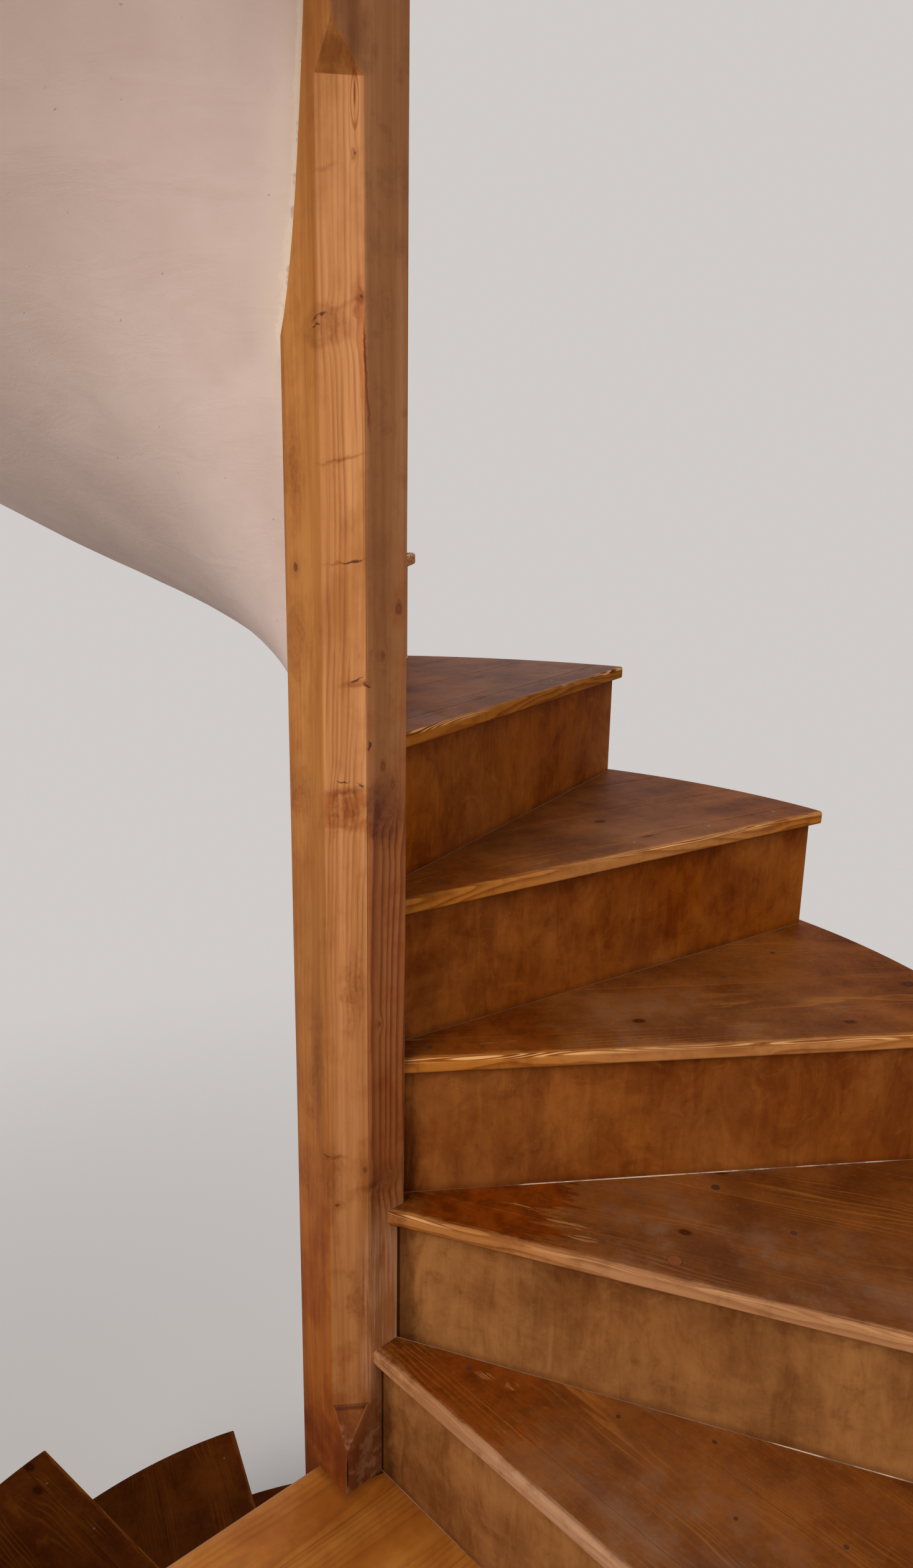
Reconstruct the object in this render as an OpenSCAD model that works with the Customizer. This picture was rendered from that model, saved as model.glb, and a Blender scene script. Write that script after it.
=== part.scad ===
// Timber winder stair round a square newel post, with quarter landings one turn apart.
// Closed plywood risers, pine treads let into the newel, and a plastered soffit that
// follows the flights. The origin is the centre of the newel's foot, on the lower floor.

/* [Stair] */
// Height of one rise, from tread top to tread top
rise = 205; // [160:1:230]
// Radius of the round stairwell, at the face of its wall
well_r = 900; // [700:5:1300]
// Turn that each quarter landing takes up, in degrees
landing_turn = 93; // [80:1:110]
// Length of the treads and joists that is let into the wall
wall_bearing = 15; // [5:1:60]

/* [Treads and risers] */
// Thickness of the tread and landing boards
tread_t = 22; // [18:1:35]
// Thickness of the plywood risers
riser_t = 15; // [9:1:20]
// Distance of each riser's face behind the radial line of its step
riser_set = 10; // [2:1:16]
// How far a tread's nosing stands out in front of its riser
overhang = 14; // [6:1:25]
// How far a landing's nosing stands out in front of its riser
landing_overhang = 24; // [10:1:35]
// Radius of the nosing's two arrises
nosing_round = 4; // [2:0.5:8]

/* [Newel post] */
// Side of the square newel
newel_side = 100; // [90:1:140]
// Height of the newel above the top landing
newel_above = 900; // [600:10:1100]
// Depth of the housings that the treads and risers are let into
housing = 15; // [8:1:18]
// Width of the chamfer's face on the newel's front corner
chamfer_w = 53; // [20:1:60]
// Height of the chamfer's lower end above the landing
chamfer_foot = 125; // [100:1:250]
// Depth of the chamfer's upper end below the landing above
chamfer_head = 535; // [300:5:560]
// Length of the pyramid stop at the chamfer's lower end
foot_stop = 58; // [20:1:80]
// Length of the pyramid stop at the chamfer's upper end
head_stop = 45; // [20:1:80]
// Depth of the ledge where the lower stop begins
stop_ledge = 3; // [1:0.5:6]
// Width of the bevel round the newel's top
cap_bevel = 6; // [2:1:12]

/* [Landings] */
// Width of the nosing board along each landing's edge
nosing_board_w = 95; // [70:1:140]
// Width of the joists under the landings
joist_w = 38; // [30:1:50]
// Height of the joists under the landings
joist_h = 120; // [90:1:150]
// Width of the tongue on a joist's end, which is let into the newel
tongue_w = 14; // [8:1:16]
// Distance of the tongue from the side of the joist that a riser meets
tongue_set = 4; // [2:1:6]
// Clearance between a joist's end and the newel's face
joist_gap = 0.3; // [0.1:0.1:1]
// Distance of the header joist from the newel's centre
header_y = 260; // [200:5:400]

/* [Soffit] */
// Width of the battens under the treads
batten_w = 38; // [25:1:50]
// Thickness of the battens under the treads
batten_t = 25; // [10:1:30]
// Thickness of the plaster, square to its surface
plaster_t = 30; // [15:1:40]
// Thickness that is left where a flight's plaster meets the newel
plaster_newel = 4; // [2:1:20]
// Distance from the newel over which the plaster gets its full thickness
newel_feather = 120; // [60:5:300]
// Turn over which the plaster thins out to a flight's ends, in degrees
plaster_fade = 30; // [25:1:45]

/* [Hidden] */
winders_down = 5;
winders_up = 10;
turn = (360 - landing_turn) / winders_up;
landing_z = (winders_down + 1) * rise;
top_z = landing_z + (winders_up + 1) * rise;
newel_top = top_z + newel_above;
first_angle = -90 + landing_turn / 2;
last_angle = -90 - landing_turn / 2;
riser_back = riser_set + riser_t;
nosing_line = riser_set - overhang;
landing_line = riser_set - landing_overhang;
far = 3 * well_r;
arc_fn = 180;
round_fn = 32;

// The chamfer's corner seen from the newel's centre, and the chamfer's depth from it.
corner_r = newel_side / sqrt(2);
chamfer_d = chamfer_w / 2;

// The plaster's upper surface: it rises with the flights and is level under a landing.
flat_top = -tread_t - joist_h;
climb = rise / turn;
flight_in = first_angle - (joist_h - batten_t) / climb;
flight_out = last_angle + (rise - joist_h + batten_t) / climb;
floor_in = last_angle - winders_down * turn + (plaster_t + tread_t + batten_t) / climb;
soffit_step = 3;
soffit_rows = [0, 0.03, 0.08, 0.16, 0.3, 0.55, 1];

// Steps are numbered from the landing, which is step 0: the winders below it are -5 to -1,
// those above it 1 to 10, and the top landing is step 11.
function step_angle(n) = n > 0 ? first_angle + (n - 1) * turn : last_angle + n * turn;
function step_z(n) = landing_z + n * rise;

// A point on the line that runs at angle a, at distance off to its left.
function line_point(a, off, t) = [t * cos(a) - off * sin(a), t * sin(a) + off * cos(a)];

// Where that line leaves a square of the given half side that stands on its corner.
function square_exit(a, off, half) =
    min([for (n = [45:90:315]) if (cos(n - a) > 0.001) (half - off * sin(n - a)) / cos(n - a)]);

// The plan between two such lines, from the newel's core to the radius r.
module plan(a, a_off, b, b_off, r) {
    difference() {
        intersection() {
            circle(r = r, $fn = arc_fn);
            polygon([
                line_point(a, a_off, 0), line_point(a, a_off, far),
                line_point(b, b_off, far), line_point(b, b_off, 0)
            ]);
        }
        rotate(45) square(newel_side - 2 * housing, center = true);
    }
}

// A straight board in plan, from the newel's core to the radius r.
module strip(a, from, to, r) plan(a, from, a, to, r);

// The section of a board whose front edge has two rounded arrises, front edge at x = 0.
module nosing_section() {
    r = min(nosing_round, tread_t / 2 - 1);
    translate([r, 0]) square([far, tread_t]);
    translate([0, r]) square([2 * r, tread_t - 2 * r]);
    for (y = [r, tread_t - r]) translate([r, y]) circle(r = r, $fn = round_fn);
}

// Everything behind a nosing line, as a board as thick as a tread.
module behind_nosing(a, off) {
    rotate(a) translate([-far / 2, off, 0]) rotate([90, 0, 90])
        linear_extrude(far * 1.5) nosing_section();
}

module tread(n) {
    color("#6b4023")
    translate([0, 0, step_z(n) - tread_t])
        intersection() {
            linear_extrude(tread_t)
                plan(step_angle(n), nosing_line - overhang, step_angle(n + 1), riser_back,
                     well_r + wall_bearing);
            behind_nosing(step_angle(n), nosing_line);
        }
}

module riser(n) {
    color("#8a5a33")
    translate([0, 0, step_z(n - 1)])
        linear_extrude(rise - tread_t)
            strip(step_angle(n), riser_set, riser_back, well_r);
}

// The board along a landing's edge, over the last riser of the flight below.
module nosing_board(z) {
    color("#a9662c")
    translate([0, 0, z - tread_t])
        intersection() {
            linear_extrude(tread_t)
                strip(last_angle, landing_line - overhang, landing_line + nosing_board_w,
                      well_r + wall_bearing);
            behind_nosing(last_angle, landing_line);
        }
}

module floor_boards(z) {
    color("#a9662c")
    translate([0, 0, z - tread_t])
        linear_extrude(tread_t)
            plan(last_angle, landing_line + nosing_board_w, first_angle, riser_back,
                 well_r + wall_bearing);
}

// A joist in plan that ends just short of the newel's face, with a tongue let into the newel.
module joist(a, from, tongue_from) {
    difference() {
        strip(a, from, from + joist_w, well_r + wall_bearing);
        rotate(45) square(newel_side + 2 * joist_gap, center = true);
    }
    strip(a, tongue_from, tongue_from + tongue_w, well_r);
}

// The landing's joists in plan: one behind the last riser, one along the line at end_angle,
// a header between them and a short joist from the header to the wall.
module frame_plan(end_angle) {
    joist(last_angle, riser_back, riser_back + tongue_set);
    joist(end_angle, riser_back - joist_w, riser_back - tongue_set - tongue_w);
    intersection() {
        plan(last_angle, riser_back, end_angle, riser_back, well_r + wall_bearing);
        union() {
            translate([-far / 2, -header_y]) square([far, joist_w]);
            translate([-joist_w / 2, -far]) square([joist_w, far - header_y]);
        }
    }
}

module landing_joists(z, end_angle) {
    color("#b98a52")
    translate([0, 0, z - tread_t - joist_h])
        linear_extrude(joist_h) frame_plan(end_angle);
}

// The batten under the tread that riser n stands on.
module batten(n) {
    color("#b98a52")
    translate([0, 0, step_z(n - 1) - tread_t - batten_t])
        linear_extrude(batten_t) difference() {
            strip(step_angle(n), riser_back - batten_w, riser_back, well_r);
            rotate(45) square(newel_side, center = true);
            if (n == 1) strip(flight_in, riser_back - joist_w, riser_back, far);
        }
}

// The plaster's upper surface under the flight whose first riser stands at foot_angle, foot_z.
function lath_z(a, foot_angle, foot_z) =
    foot_z + (a - foot_angle) * climb - tread_t - batten_t;

// Depth of the plaster straight down, at a point that is t from the newel's centre and clear of
// its face by a distance. It grows where the soffit is steep, and is feathered out at the newel.
function ease(x) = let (c = max(0, min(1, x))) c * c * (3 - 2 * c);
function plaster_depth(t, clear, share) =
    let (thick = plaster_t - (plaster_t - plaster_newel) * share * (1 - ease(clear / newel_feather)))
    thick * (1 + share * (sqrt(1 + pow(climb * 180 / PI / t, 2)) - 1));

// Values in rising order.
function sorted(v) = len(v) < 2 ? v : let (p = v[0])
    concat(sorted([for (x = v) if (x < p) x]), [p], sorted([for (x = v) if (x > p) x]));

// The angles of the plaster's rows: one under each riser's back and one at each of the
// newel's corners, with even steps between them.
function plaster_rows(a0, a1, foot_angle) =
    let (corner_turn = asin(riser_back / corner_r),
         marks = sorted(concat(
             [a0, a1],
             [for (a = [foot_angle - winders_down * turn:turn:a1]) if (a > a0 + 0.5 && a < a1 - 0.5) a],
             [for (q = [-360:90:360]) let (a = q - corner_turn) if (a > a0 && a < a1) a])))
    concat([for (i = [0:len(marks) - 2])
        let (n = ceil((marks[i + 1] - marks[i]) / soffit_step))
        for (k = [0:n - 1]) marks[i] + (marks[i + 1] - marks[i]) * k / n], [a1]);

// The plaster under a flight from angle a0 to a1: ruled along lines that lie under the
// backs of the risers, from the newel's face to the wall.
module flight_plaster(a0, a1, foot_angle, foot_z) {
    rows = plaster_rows(a0, a1, foot_angle);
    n_step = len(rows) - 1;
    n_row = len(soffit_rows);
    ring = 2 * n_row;
    pts = [for (a = rows)
        let (inner = square_exit(a, riser_back, newel_side / 2),
             outer = sqrt(pow(well_r, 2) - pow(riser_back, 2)),
             share = ease(min(a - a0, a1 - a) / plaster_fade),
             z = lath_z(a, foot_angle, foot_z))
        for (side = [0, 1], k = [0:n_row - 1])
            let (row = side == 0 ? k : n_row - 1 - k,
                 t = inner + (outer - inner) * soffit_rows[row])
            concat(line_point(a, riser_back, t),
                   [side == 0 ? z : max(0, z - plaster_depth(t, t - inner, share))])
    ];
    ends = [[for (k = [0:ring - 1]) k], [for (k = [0:ring - 1]) n_step * ring + ring - 1 - k]];
    sides = [for (i = [0:n_step - 1], k = [0:ring - 1])
        let (k2 = (k + 1) % ring, p = i * ring, q = p + ring)
        each [[p + k, q + k, q + k2], [p + k, q + k2, p + k2]]];
    color("#efe9e0") polyhedron(points = pts, faces = concat(ends, sides), convexity = 10);
}

module landing_plaster(z, end_angle) {
    color("#efe9e0")
    translate([0, 0, z + flat_top - plaster_t])
        linear_extrude(plaster_t) difference() {
            plan(flight_out, riser_back, end_angle, riser_back, well_r);
            rotate(45) square(newel_side, center = true);
        }
}

// What the chamfer takes off between two heights, as a section in the newel's diagonal plane.
module chamfer_cut(z0, z1) {
    face_x = corner_r - chamfer_d;
    rotate([90, 0, -90]) translate([0, 0, -newel_side])
        linear_extrude(2 * newel_side) polygon([
            [corner_r + 1, z0 - foot_stop * (1 + 1 / (chamfer_d - stop_ledge))],
            [face_x + stop_ledge, z0], [face_x, z0], [face_x, z1],
            [corner_r + 1, z1 + head_stop * (1 + 1 / chamfer_d)]
        ]);
}

module newel_post() {
    color("#b87840")
    difference() {
        rotate(45) translate([-newel_side / 2, -newel_side / 2, 0])
            cube([newel_side, newel_side, newel_top]);
        chamfer_cut(chamfer_foot, landing_z - chamfer_head);
        chamfer_cut(landing_z + chamfer_foot, top_z - chamfer_head);
        chamfer_cut(top_z + chamfer_foot, newel_top - chamfer_foot);
        for (s = [0:90:270]) rotate(s + 45) translate([newel_side / 2, 0, newel_top])
            rotate([90, 0, 0]) linear_extrude(2 * newel_side, center = true)
                polygon([[-cap_bevel, 1], [1, 1], [1, -cap_bevel]]);
        for (n = [-winders_down:winders_up]) if (n != 0) translate([0, 0, step_z(n) - tread_t])
            linear_extrude(tread_t)
                plan(step_angle(n), nosing_line, step_angle(n + 1), riser_back, 2 * newel_side);
        for (n = [-winders_down:winders_up + 1]) translate([0, 0, step_z(n - 1)])
            linear_extrude(rise - tread_t)
                strip(step_angle(n), riser_set, riser_back, 2 * newel_side);
        for (z = [landing_z, top_z]) translate([0, 0, z - tread_t])
            linear_extrude(tread_t)
                plan(last_angle, landing_line, first_angle, riser_back, 2 * newel_side);
        landing_joists(landing_z, flight_in);
        landing_joists(top_z, first_angle);
    }
}

newel_post();
for (i = [1:winders_down + 1])
    riser(i - winders_down - 1);
for (i = [1:winders_down])
    tread(i - winders_down - 1);
nosing_board(landing_z);  // landing_nosing
floor_boards(landing_z);  // landing_floor
landing_joists(landing_z, flight_in);  // landing_frame
for (i = [1:winders_up + 1])
    riser(i);
for (i = [1:winders_up])
    tread(i);
nosing_board(top_z);  // top_landing_nosing
floor_boards(top_z);  // top_landing_floor
landing_joists(top_z, first_angle);  // top_landing_frame
for (n = [1 - winders_down:0]) batten(n);  // lower_battens
for (n = [1:winders_up + 1]) batten(n);  // upper_battens
flight_plaster(floor_in, flight_out, last_angle, landing_z - rise);  // lower_soffit
landing_plaster(landing_z, flight_in);  // landing_soffit
flight_plaster(flight_in, flight_out + 360, first_angle, landing_z);  // upper_soffit
landing_plaster(top_z, first_angle);  // top_landing_soffit
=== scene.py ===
# The looks of a timber winder stair that turns round a square newel post.
# All lengths are in metres. Steps are numbered from the landing, which is step 0: the winders
# below it are -5 to -1, those above it 1 to 10, and the top landing is step 11.
import math
from functools import reduce
from types import SimpleNamespace

import bmesh
import bpy
from mathutils import Matrix, Vector, noise

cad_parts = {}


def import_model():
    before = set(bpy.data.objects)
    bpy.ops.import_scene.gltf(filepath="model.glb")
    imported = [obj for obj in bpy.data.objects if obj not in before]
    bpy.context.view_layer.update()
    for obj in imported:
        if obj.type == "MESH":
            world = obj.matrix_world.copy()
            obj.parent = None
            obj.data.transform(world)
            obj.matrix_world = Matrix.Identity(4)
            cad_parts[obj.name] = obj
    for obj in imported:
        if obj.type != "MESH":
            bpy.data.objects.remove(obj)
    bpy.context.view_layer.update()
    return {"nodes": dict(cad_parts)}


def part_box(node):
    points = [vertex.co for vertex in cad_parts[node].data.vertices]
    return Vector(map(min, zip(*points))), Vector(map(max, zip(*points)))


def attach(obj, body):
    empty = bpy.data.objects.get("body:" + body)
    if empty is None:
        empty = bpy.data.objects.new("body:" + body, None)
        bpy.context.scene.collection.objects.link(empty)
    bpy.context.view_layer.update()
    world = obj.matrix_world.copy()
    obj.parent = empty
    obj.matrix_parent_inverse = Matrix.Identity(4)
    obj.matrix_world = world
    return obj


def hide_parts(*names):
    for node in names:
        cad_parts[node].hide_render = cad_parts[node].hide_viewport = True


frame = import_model()

# Sizes read from the construction
WINDERS_DOWN = sum(name.startswith("lower_tread_") for name in frame["nodes"])
WINDERS_UP = sum(name.startswith("upper_tread_") for name in frame["nodes"])
NEWEL_LOW, NEWEL_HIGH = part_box("newel_post")
NEWEL_SIDE = (NEWEL_HIGH.x - NEWEL_LOW.x) / math.sqrt(2)
LANDING_LOW, LANDING_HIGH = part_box("landing_floor")
LANDING_Z = LANDING_HIGH.z
TOP_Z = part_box("top_landing_floor")[1].z
BOARD_T = LANDING_HIGH.z - LANDING_LOW.z
RISE = (TOP_Z - LANDING_Z) / (WINDERS_UP + 1)
JOIST_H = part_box("landing_frame")[1].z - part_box("landing_frame")[0].z
BATTEN_T = LANDING_Z - BOARD_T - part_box("upper_battens")[0].z
PLASTER_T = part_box("landing_soffit")[1].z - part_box("landing_soffit")[0].z

# Sizes that the construction shares: the well that the stair fills, and how far the boards run
# past it
WELL_R = 0.9
BEARING = 0.015
# The risers, the nosings' edges from the steps' lines, and the landings' nosing boards
RISER_SET = 0.01
RISER_T = 0.015
RISER_BACK = RISER_SET + RISER_T
NOSING_LINE = -0.004
LANDING_LINE = -0.014
NOSING_R = 0.004
NOSING_BOARD_W = 0.095
# The newel's stopped chamfer: its depth, and the shares of it cut left and right of the corner
CHAMFER_D = 0.0265
CHAMFER_LEFT, CHAMFER_RIGHT = 0.83, 1.14
# Where it starts above a landing and ends below the next one, its stops, and the newel's top
CHAMFER_FOOT = 0.125
CHAMFER_HEAD = 0.535
FOOT_STOP = 0.058
HEAD_STOP = 0.045
STOP_LEDGE = 0.003
CAP_BEVEL = 0.006
# The plaster's thickness at the newel, and the stretches in which it thins
PLASTER_NEWEL = 0.004
NEWEL_FEATHER = 0.12
PLASTER_FADE = math.radians(30)

# The turns of the landing and of a winder, the first winder's line above the landing and the
# landing's own, and the height that a radian of turn climbs
LANDING_TURN = math.radians(93)
TURN = (2 * math.pi - LANDING_TURN) / WINDERS_UP
FIRST_ANGLE = (LANDING_TURN - math.pi) / 2
LAST_ANGLE = -(LANDING_TURN + math.pi) / 2
CLIMB = RISE / TURN
# How far from the middle the newel's corners lie and the boards end, and how far the boards run
# into the newel
CORNER_R = NEWEL_SIDE / math.sqrt(2)
OUT_R = WELL_R + BEARING
BITE = 0.01


def step_angle(n):
    return FIRST_ANGLE + (n - 1) * TURN if n > 0 else LAST_ANGLE + n * TURN


def step_z(n):
    return LANDING_Z + n * RISE


def steps():
    """Every winder's step number and the name of its node."""
    for i in range(1, WINDERS_DOWN + 1):
        yield i - WINDERS_DOWN - 1, f"lower_tread_{i}"
    for i in range(1, WINDERS_UP + 1):
        yield i, f"upper_tread_{i}"


def risers():
    """Every riser's step number and the name of its node."""
    for i in range(1, WINDERS_DOWN + 2):
        yield i - WINDERS_DOWN - 1, f"lower_riser_{i}"
    for i in range(1, WINDERS_UP + 2):
        yield i, f"upper_riser_{i}"


def mix(a, b, share):
    return a + (b - a) * share


def ease(low, high, value):
    share = min(1.0, max(0.0, (value - low) / (high - low)))
    return share * share * (3 - 2 * share)


def waves(x, y=0.0, z=0.0):
    """Smooth noise from -1 to 1 that is the same on every run."""
    return noise.noise(Vector((x, y, z)))


# Shader maths


class Value:
    """A socket of a node tree. An expression on it adds Math nodes."""

    def __init__(self, paint, socket):
        self.paint = paint
        self.socket = socket

    def math(self, operation, *others):
        return self.paint.math(operation, self, *others)

    def __add__(self, other):
        return self.math("ADD", other)

    def __mul__(self, other):
        return self.math("MULTIPLY", other)

    def __sub__(self, other):
        return self.math("SUBTRACT", other)

    def __rsub__(self, other):
        return self.paint.math("SUBTRACT", other, self)

    def __truediv__(self, other):
        return self.math("DIVIDE", other)

    __radd__ = __add__
    __rmul__ = __mul__

    def sway(self, width):
        """Noise that runs from 0 to 1, as an unevenness of this width on both sides of 0."""
        return (self - 0.5) * width

    def ripple(self):
        """The sine of this value, brought between 0 and 1."""
        return self.math("SINE") * 0.5 + 0.5

    def tint(self, share, by):
        """This colour, multiplied by another one where share is 1."""
        return self.paint.colour(share, self, by, "MULTIPLY")

    def coat(self, share, top):
        """This colour where share is 0 and the top colour where share is 1."""
        return self.paint.colour(share, self, top)


class Paint:
    """The node tree of a new material, or of the studio's world."""

    def __init__(self, name, owners=None):
        owners = bpy.data.materials if owners is None else owners
        self.owner = owners.new(name)
        self.owner.use_nodes = True
        self.tree = self.owner.node_tree
        self.tree.nodes.clear()

    def node(self, kind, settings=None, values=(), out=0):
        """Adds a node, with its settings first and then its inputs, by place or by name."""
        made = self.tree.nodes.new(kind)
        for key, value in (settings or {}).items():
            setattr(made, key, value)
        pairs = values.items() if isinstance(values, dict) else enumerate(values)
        for key, value in pairs:
            if isinstance(value, Value):
                self.tree.links.new(value.socket, made.inputs[key])
            else:
                made.inputs[key].default_value = value
        return Value(self, made.outputs[out]) if made.outputs else None

    def math(self, operation, *values):
        return self.node("ShaderNodeMath", {"operation": operation}, values)

    def vector(self, operation, *values, out=0):
        return self.node("ShaderNodeVectorMath", {"operation": operation}, values, out)

    def place(self):
        return self.node("ShaderNodeTexCoord", out="Object")

    def attribute(self, name, out="Vector"):
        return self.node("ShaderNodeAttribute", {"attribute_name": name}, out=out)

    def split(self, vector):
        parts = self.node("ShaderNodeSeparateXYZ", {}, [vector]).socket.node.outputs
        return [Value(self, part) for part in parts]

    def join(self, x, y, z):
        return self.node("ShaderNodeCombineXYZ", {}, [x, y, z])

    def length(self, vector):
        return self.vector("LENGTH", vector, out="Value")

    def distance(self, vector, centre, half_size):
        """Distance from a centre, counted in a half size along each axis."""
        scale = [1 / half for half in half_size]
        shift = [-c * s for c, s in zip(centre, scale)]
        return self.length(self.vector("MULTIPLY_ADD", vector, scale, shift))

    def clouds(self, vector, scale=1, detail=2, rough=0.5, warp=0, shift=(0, 0, 0)):
        """Noise at one scale, or at a scale along each axis."""
        if isinstance(scale, tuple):
            vector, scale = self.vector("MULTIPLY_ADD", vector, scale, shift), 1
        values = {"Vector": vector, "Scale": scale, "Detail": detail}
        values.update({"Roughness": rough, "Distortion": warp})
        return self.node("ShaderNodeTexNoise", {}, values)

    def colour(self, share, first, second, blend="MIX"):
        """The first colour where share is 0 and the second where it is 1."""
        first, second = [c if isinstance(c, Value) else (*c, 1) for c in (first, second)]
        pairs = {0: share, 6: first, 7: second}
        return self.node("ShaderNodeMix", {"data_type": "RGBA", "blend_type": blend}, pairs, 2)

    def surface(self, colour, rough, height, depth, shine=0.5):
        """Finishes a material, whose unevenness is height, as deep as depth."""
        bump = self.node("ShaderNodeBump", {}, {"Distance": depth, "Height": height})
        values = {"Base Color": colour, "Roughness": rough, "Normal": bump}
        values["Specular IOR Level"] = shine
        return self.finish(self.node("ShaderNodeBsdfPrincipled", {}, values))

    def finish(self, shader, kind="ShaderNodeOutputMaterial"):
        self.node(kind, {}, {"Surface": shader})
        return self.owner


def over(value, low, high):
    """0 below low, 1 above high and a smooth change between them."""
    settings = {"interpolation_type": "SMOOTHSTEP"}
    return value.paint.node("ShaderNodeMapRange", settings, [value, low, high, 0, 1])


def under(value, low, high):
    """1 below low, 0 above high and a smooth change between them."""
    return 1 - over(value, low, high)


def between(value, low, full, fade, high):
    """1 from full to fade, 0 outside low and high, and smooth changes between them."""
    return over(value, low, full) * under(value, fade, high)


def least(values):
    return reduce(lambda smallest, value: smallest.math("MINIMUM", value), values)


# Finishes

# How much each finish reflects. Old stain has next to no sheen, even at a flat angle.
OILED_SHINE, STAINED_SHINE, PLY_SHINE, PLASTER_SHINE = 0.2, 0.008, 0.015, 0.2
# The tone of the treads above the landing, and the painted shade that darkens those below it
WORN_TONE, LOWER_SHADE_TONE = (1.0, 0.95, 0.88), (0.38, 0.29, 0.17)


def knot_distance(paint, vector, knots, drawn=1.5):
    """Distance to the nearest knot, counted in that knot's own radius."""
    distances = []
    for centre, radius, long_axis in knots:
        half_size = [radius] * 3
        half_size[long_axis] *= drawn
        distances.append(paint.distance(vector, centre, half_size))
    return least(distances)


def growth(paint, along, across, through, spacing, near, bend=1):
    """Growth rings round a pith: 0 in the early wood, 1 in the late wood."""
    sway = paint.clouds(paint.join(along * 0.9, 0, 0), detail=1) - 0.5
    drift = paint.clouds(paint.join(along * 2.6, across * 14, through * 14), detail=3) - 0.5
    push = (near * -0.85).math("EXPONENT")
    span = paint.length(paint.join(0, across + sway * 0.05, through + sway * 0.03))
    span = span + drift * 0.012 * bend + push * (spacing * 2.6)
    uneven = paint.clouds(paint.join(span / (spacing * 4), 0, 0), detail=1)
    ring = (span / spacing + uneven * 2.2).math("FRACT")
    return between(ring, 0.3, 0.86, 0.88, 1)


def knot_wood(paint, near, wood, dark, rim, hearts=0.55):
    """Puts the knots' dark hearts and their rims into a colour of wood."""
    heart = paint.colour((near * 11).ripple() * hearts, dark, rim)
    wood = wood.coat(under(near, 0.8, 3.4) * 0.45, rim)
    return wood.coat(under(near, 0.7, 1.1), heart)


# Marks on the newel, in the stair's own coordinates. Its knots, with centre, radius and the axis
# that they are drawn out along.
NEWEL_KNOTS = [
    ((0.025, -0.042, 2.748), 0.0022, 2), ((0.019, -0.043, 2.88), 0.0016, 2),
    ((-0.055, -0.015, 2.468), 0.0046, 2), ((0.062, -0.009, 2.424), 0.006, 2),
    ((0.045, -0.025, 2.371), 0.0036, 2), ((0.045, -0.025, 2.242), 0.005, 2),
    ((0.056, -0.015, 2.218), 0.0046, 2), ((0.053, -0.018, 2.184), 0.0052, 2),
    ((0.024, -0.042, 1.715), 0.0034, 2), ((0.052, -0.018, 1.69), 0.006, 1),
    ((-0.012, -0.046, 1.665), 0.0028, 0), ((0.042, -0.029, 1.913), 0.0022, 2),
    ((-0.05, 0.021, 3.25), 0.011, 2), ((0.01, -0.05, 3.42), 0.008, 2),
    ((0.05, 0.021, 3.02), 0.012, 2), ((0.021, 0.05, 2.3), 0.011, 2),
    ((-0.021, 0.05, 1.5), 0.012, 2), ((0.048, 0.024, 0.9), 0.011, 2),
    ((-0.01, -0.044, 0.7), 0.006, 0), ((-0.05, -0.021, 0.42), 0.008, 2),
    ((0.016, 0.055, 3.9), 0.011, 2), ((-0.044, -0.027, 4.1), 0.008, 2),
]
# Dark checks on the newel's front: x, z, half length, half width and slope
CHECKS = [
    (-0.019, 2.727, 0.008, 0.0024, 0.5), (-0.021, 2.719, 0.005, 0.0012, 0.2),
    (0.018, 2.345, 0.008, 0.0016, 0.35),
    (0.029, 2.339, 0.005, 0.0022, -0.6), (0.0, 2.226, 0.01, 0.0011, 0.1),
    (0.021, 2.221, 0.006, 0.002, -0.5), (0.015, 2.476, 0.012, 0.0011, 0.1),
    (-0.024, 1.736, 0.006, 0.0016, 0.1), (0.032, 2.27, 0.0014, 0.007, 0.0),
    (0.008, 3.422, 0.02, 0.0014, 0.2), (0.0, 0.702, 0.018, 0.0014, 0.2),
]
# Soft creases where a whorl of branches bent the wood
CREASES = [
    (0.003, 2.736, 0.026, 0.0042, 0.5), (-0.012, 2.866, 0.014, 0.0026, 0.3),
    (0.004, 2.585, 0.029, 0.0022, 0.24), (0.006, 2.475, 0.024, 0.002, 0.1),
    (0.016, 2.34, 0.02, 0.004, 0.1), (0.004, 2.214, 0.027, 0.005, 0.12),
    (-0.014, 1.733, 0.016, 0.0034, 0.1), (0.035, 1.69, 0.024, 0.006, 0.15),
    (0.006, 3.418, 0.034, 0.004, 0.2), (0.0, 0.698, 0.03, 0.004, 0.2),
]
# Soft dark clouds round the whorls: x, z, half width, half height
BURLS = [
    (-0.008, 2.718, 0.03, 0.016), (0.025, 2.748, 0.01, 0.02), (0.048, 2.735, 0.013, 0.026),
    (-0.055, 2.205, 0.018, 0.034), (0.008, 2.192, 0.034, 0.028), (0.047, 2.188, 0.024, 0.046),
    (0.05, 2.617, 0.011, 0.014), (0.045, 2.371, 0.013, 0.024), (0.01, 1.962, 0.012, 0.06),
    (0.046, 1.692, 0.022, 0.032), (-0.06, 1.68, 0.016, 0.055), (-0.018, 1.7, 0.016, 0.05),
    (0.01, 3.42, 0.03, 0.026), (-0.055, 2.575, 0.017, 0.075), (-0.052, 2.395, 0.018, 0.05),
    (-0.04, 1.86, 0.012, 0.09), (0.016, 1.52, 0.014, 0.07),
]
# The middle of the newel's growth rings, as x and y
PITH = (0.105, 0.01)
# The resin streak on the chamfer: its place, its half sizes and those of the drip in it
RESIN = (0.019, -0.044, 2.929)
RESIN_HALF = (0.0042, 0.016, 0.026)
DRIP_HALF = (0.0013, 0.016, 0.016)
DRIP_UP = 0.006
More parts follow.
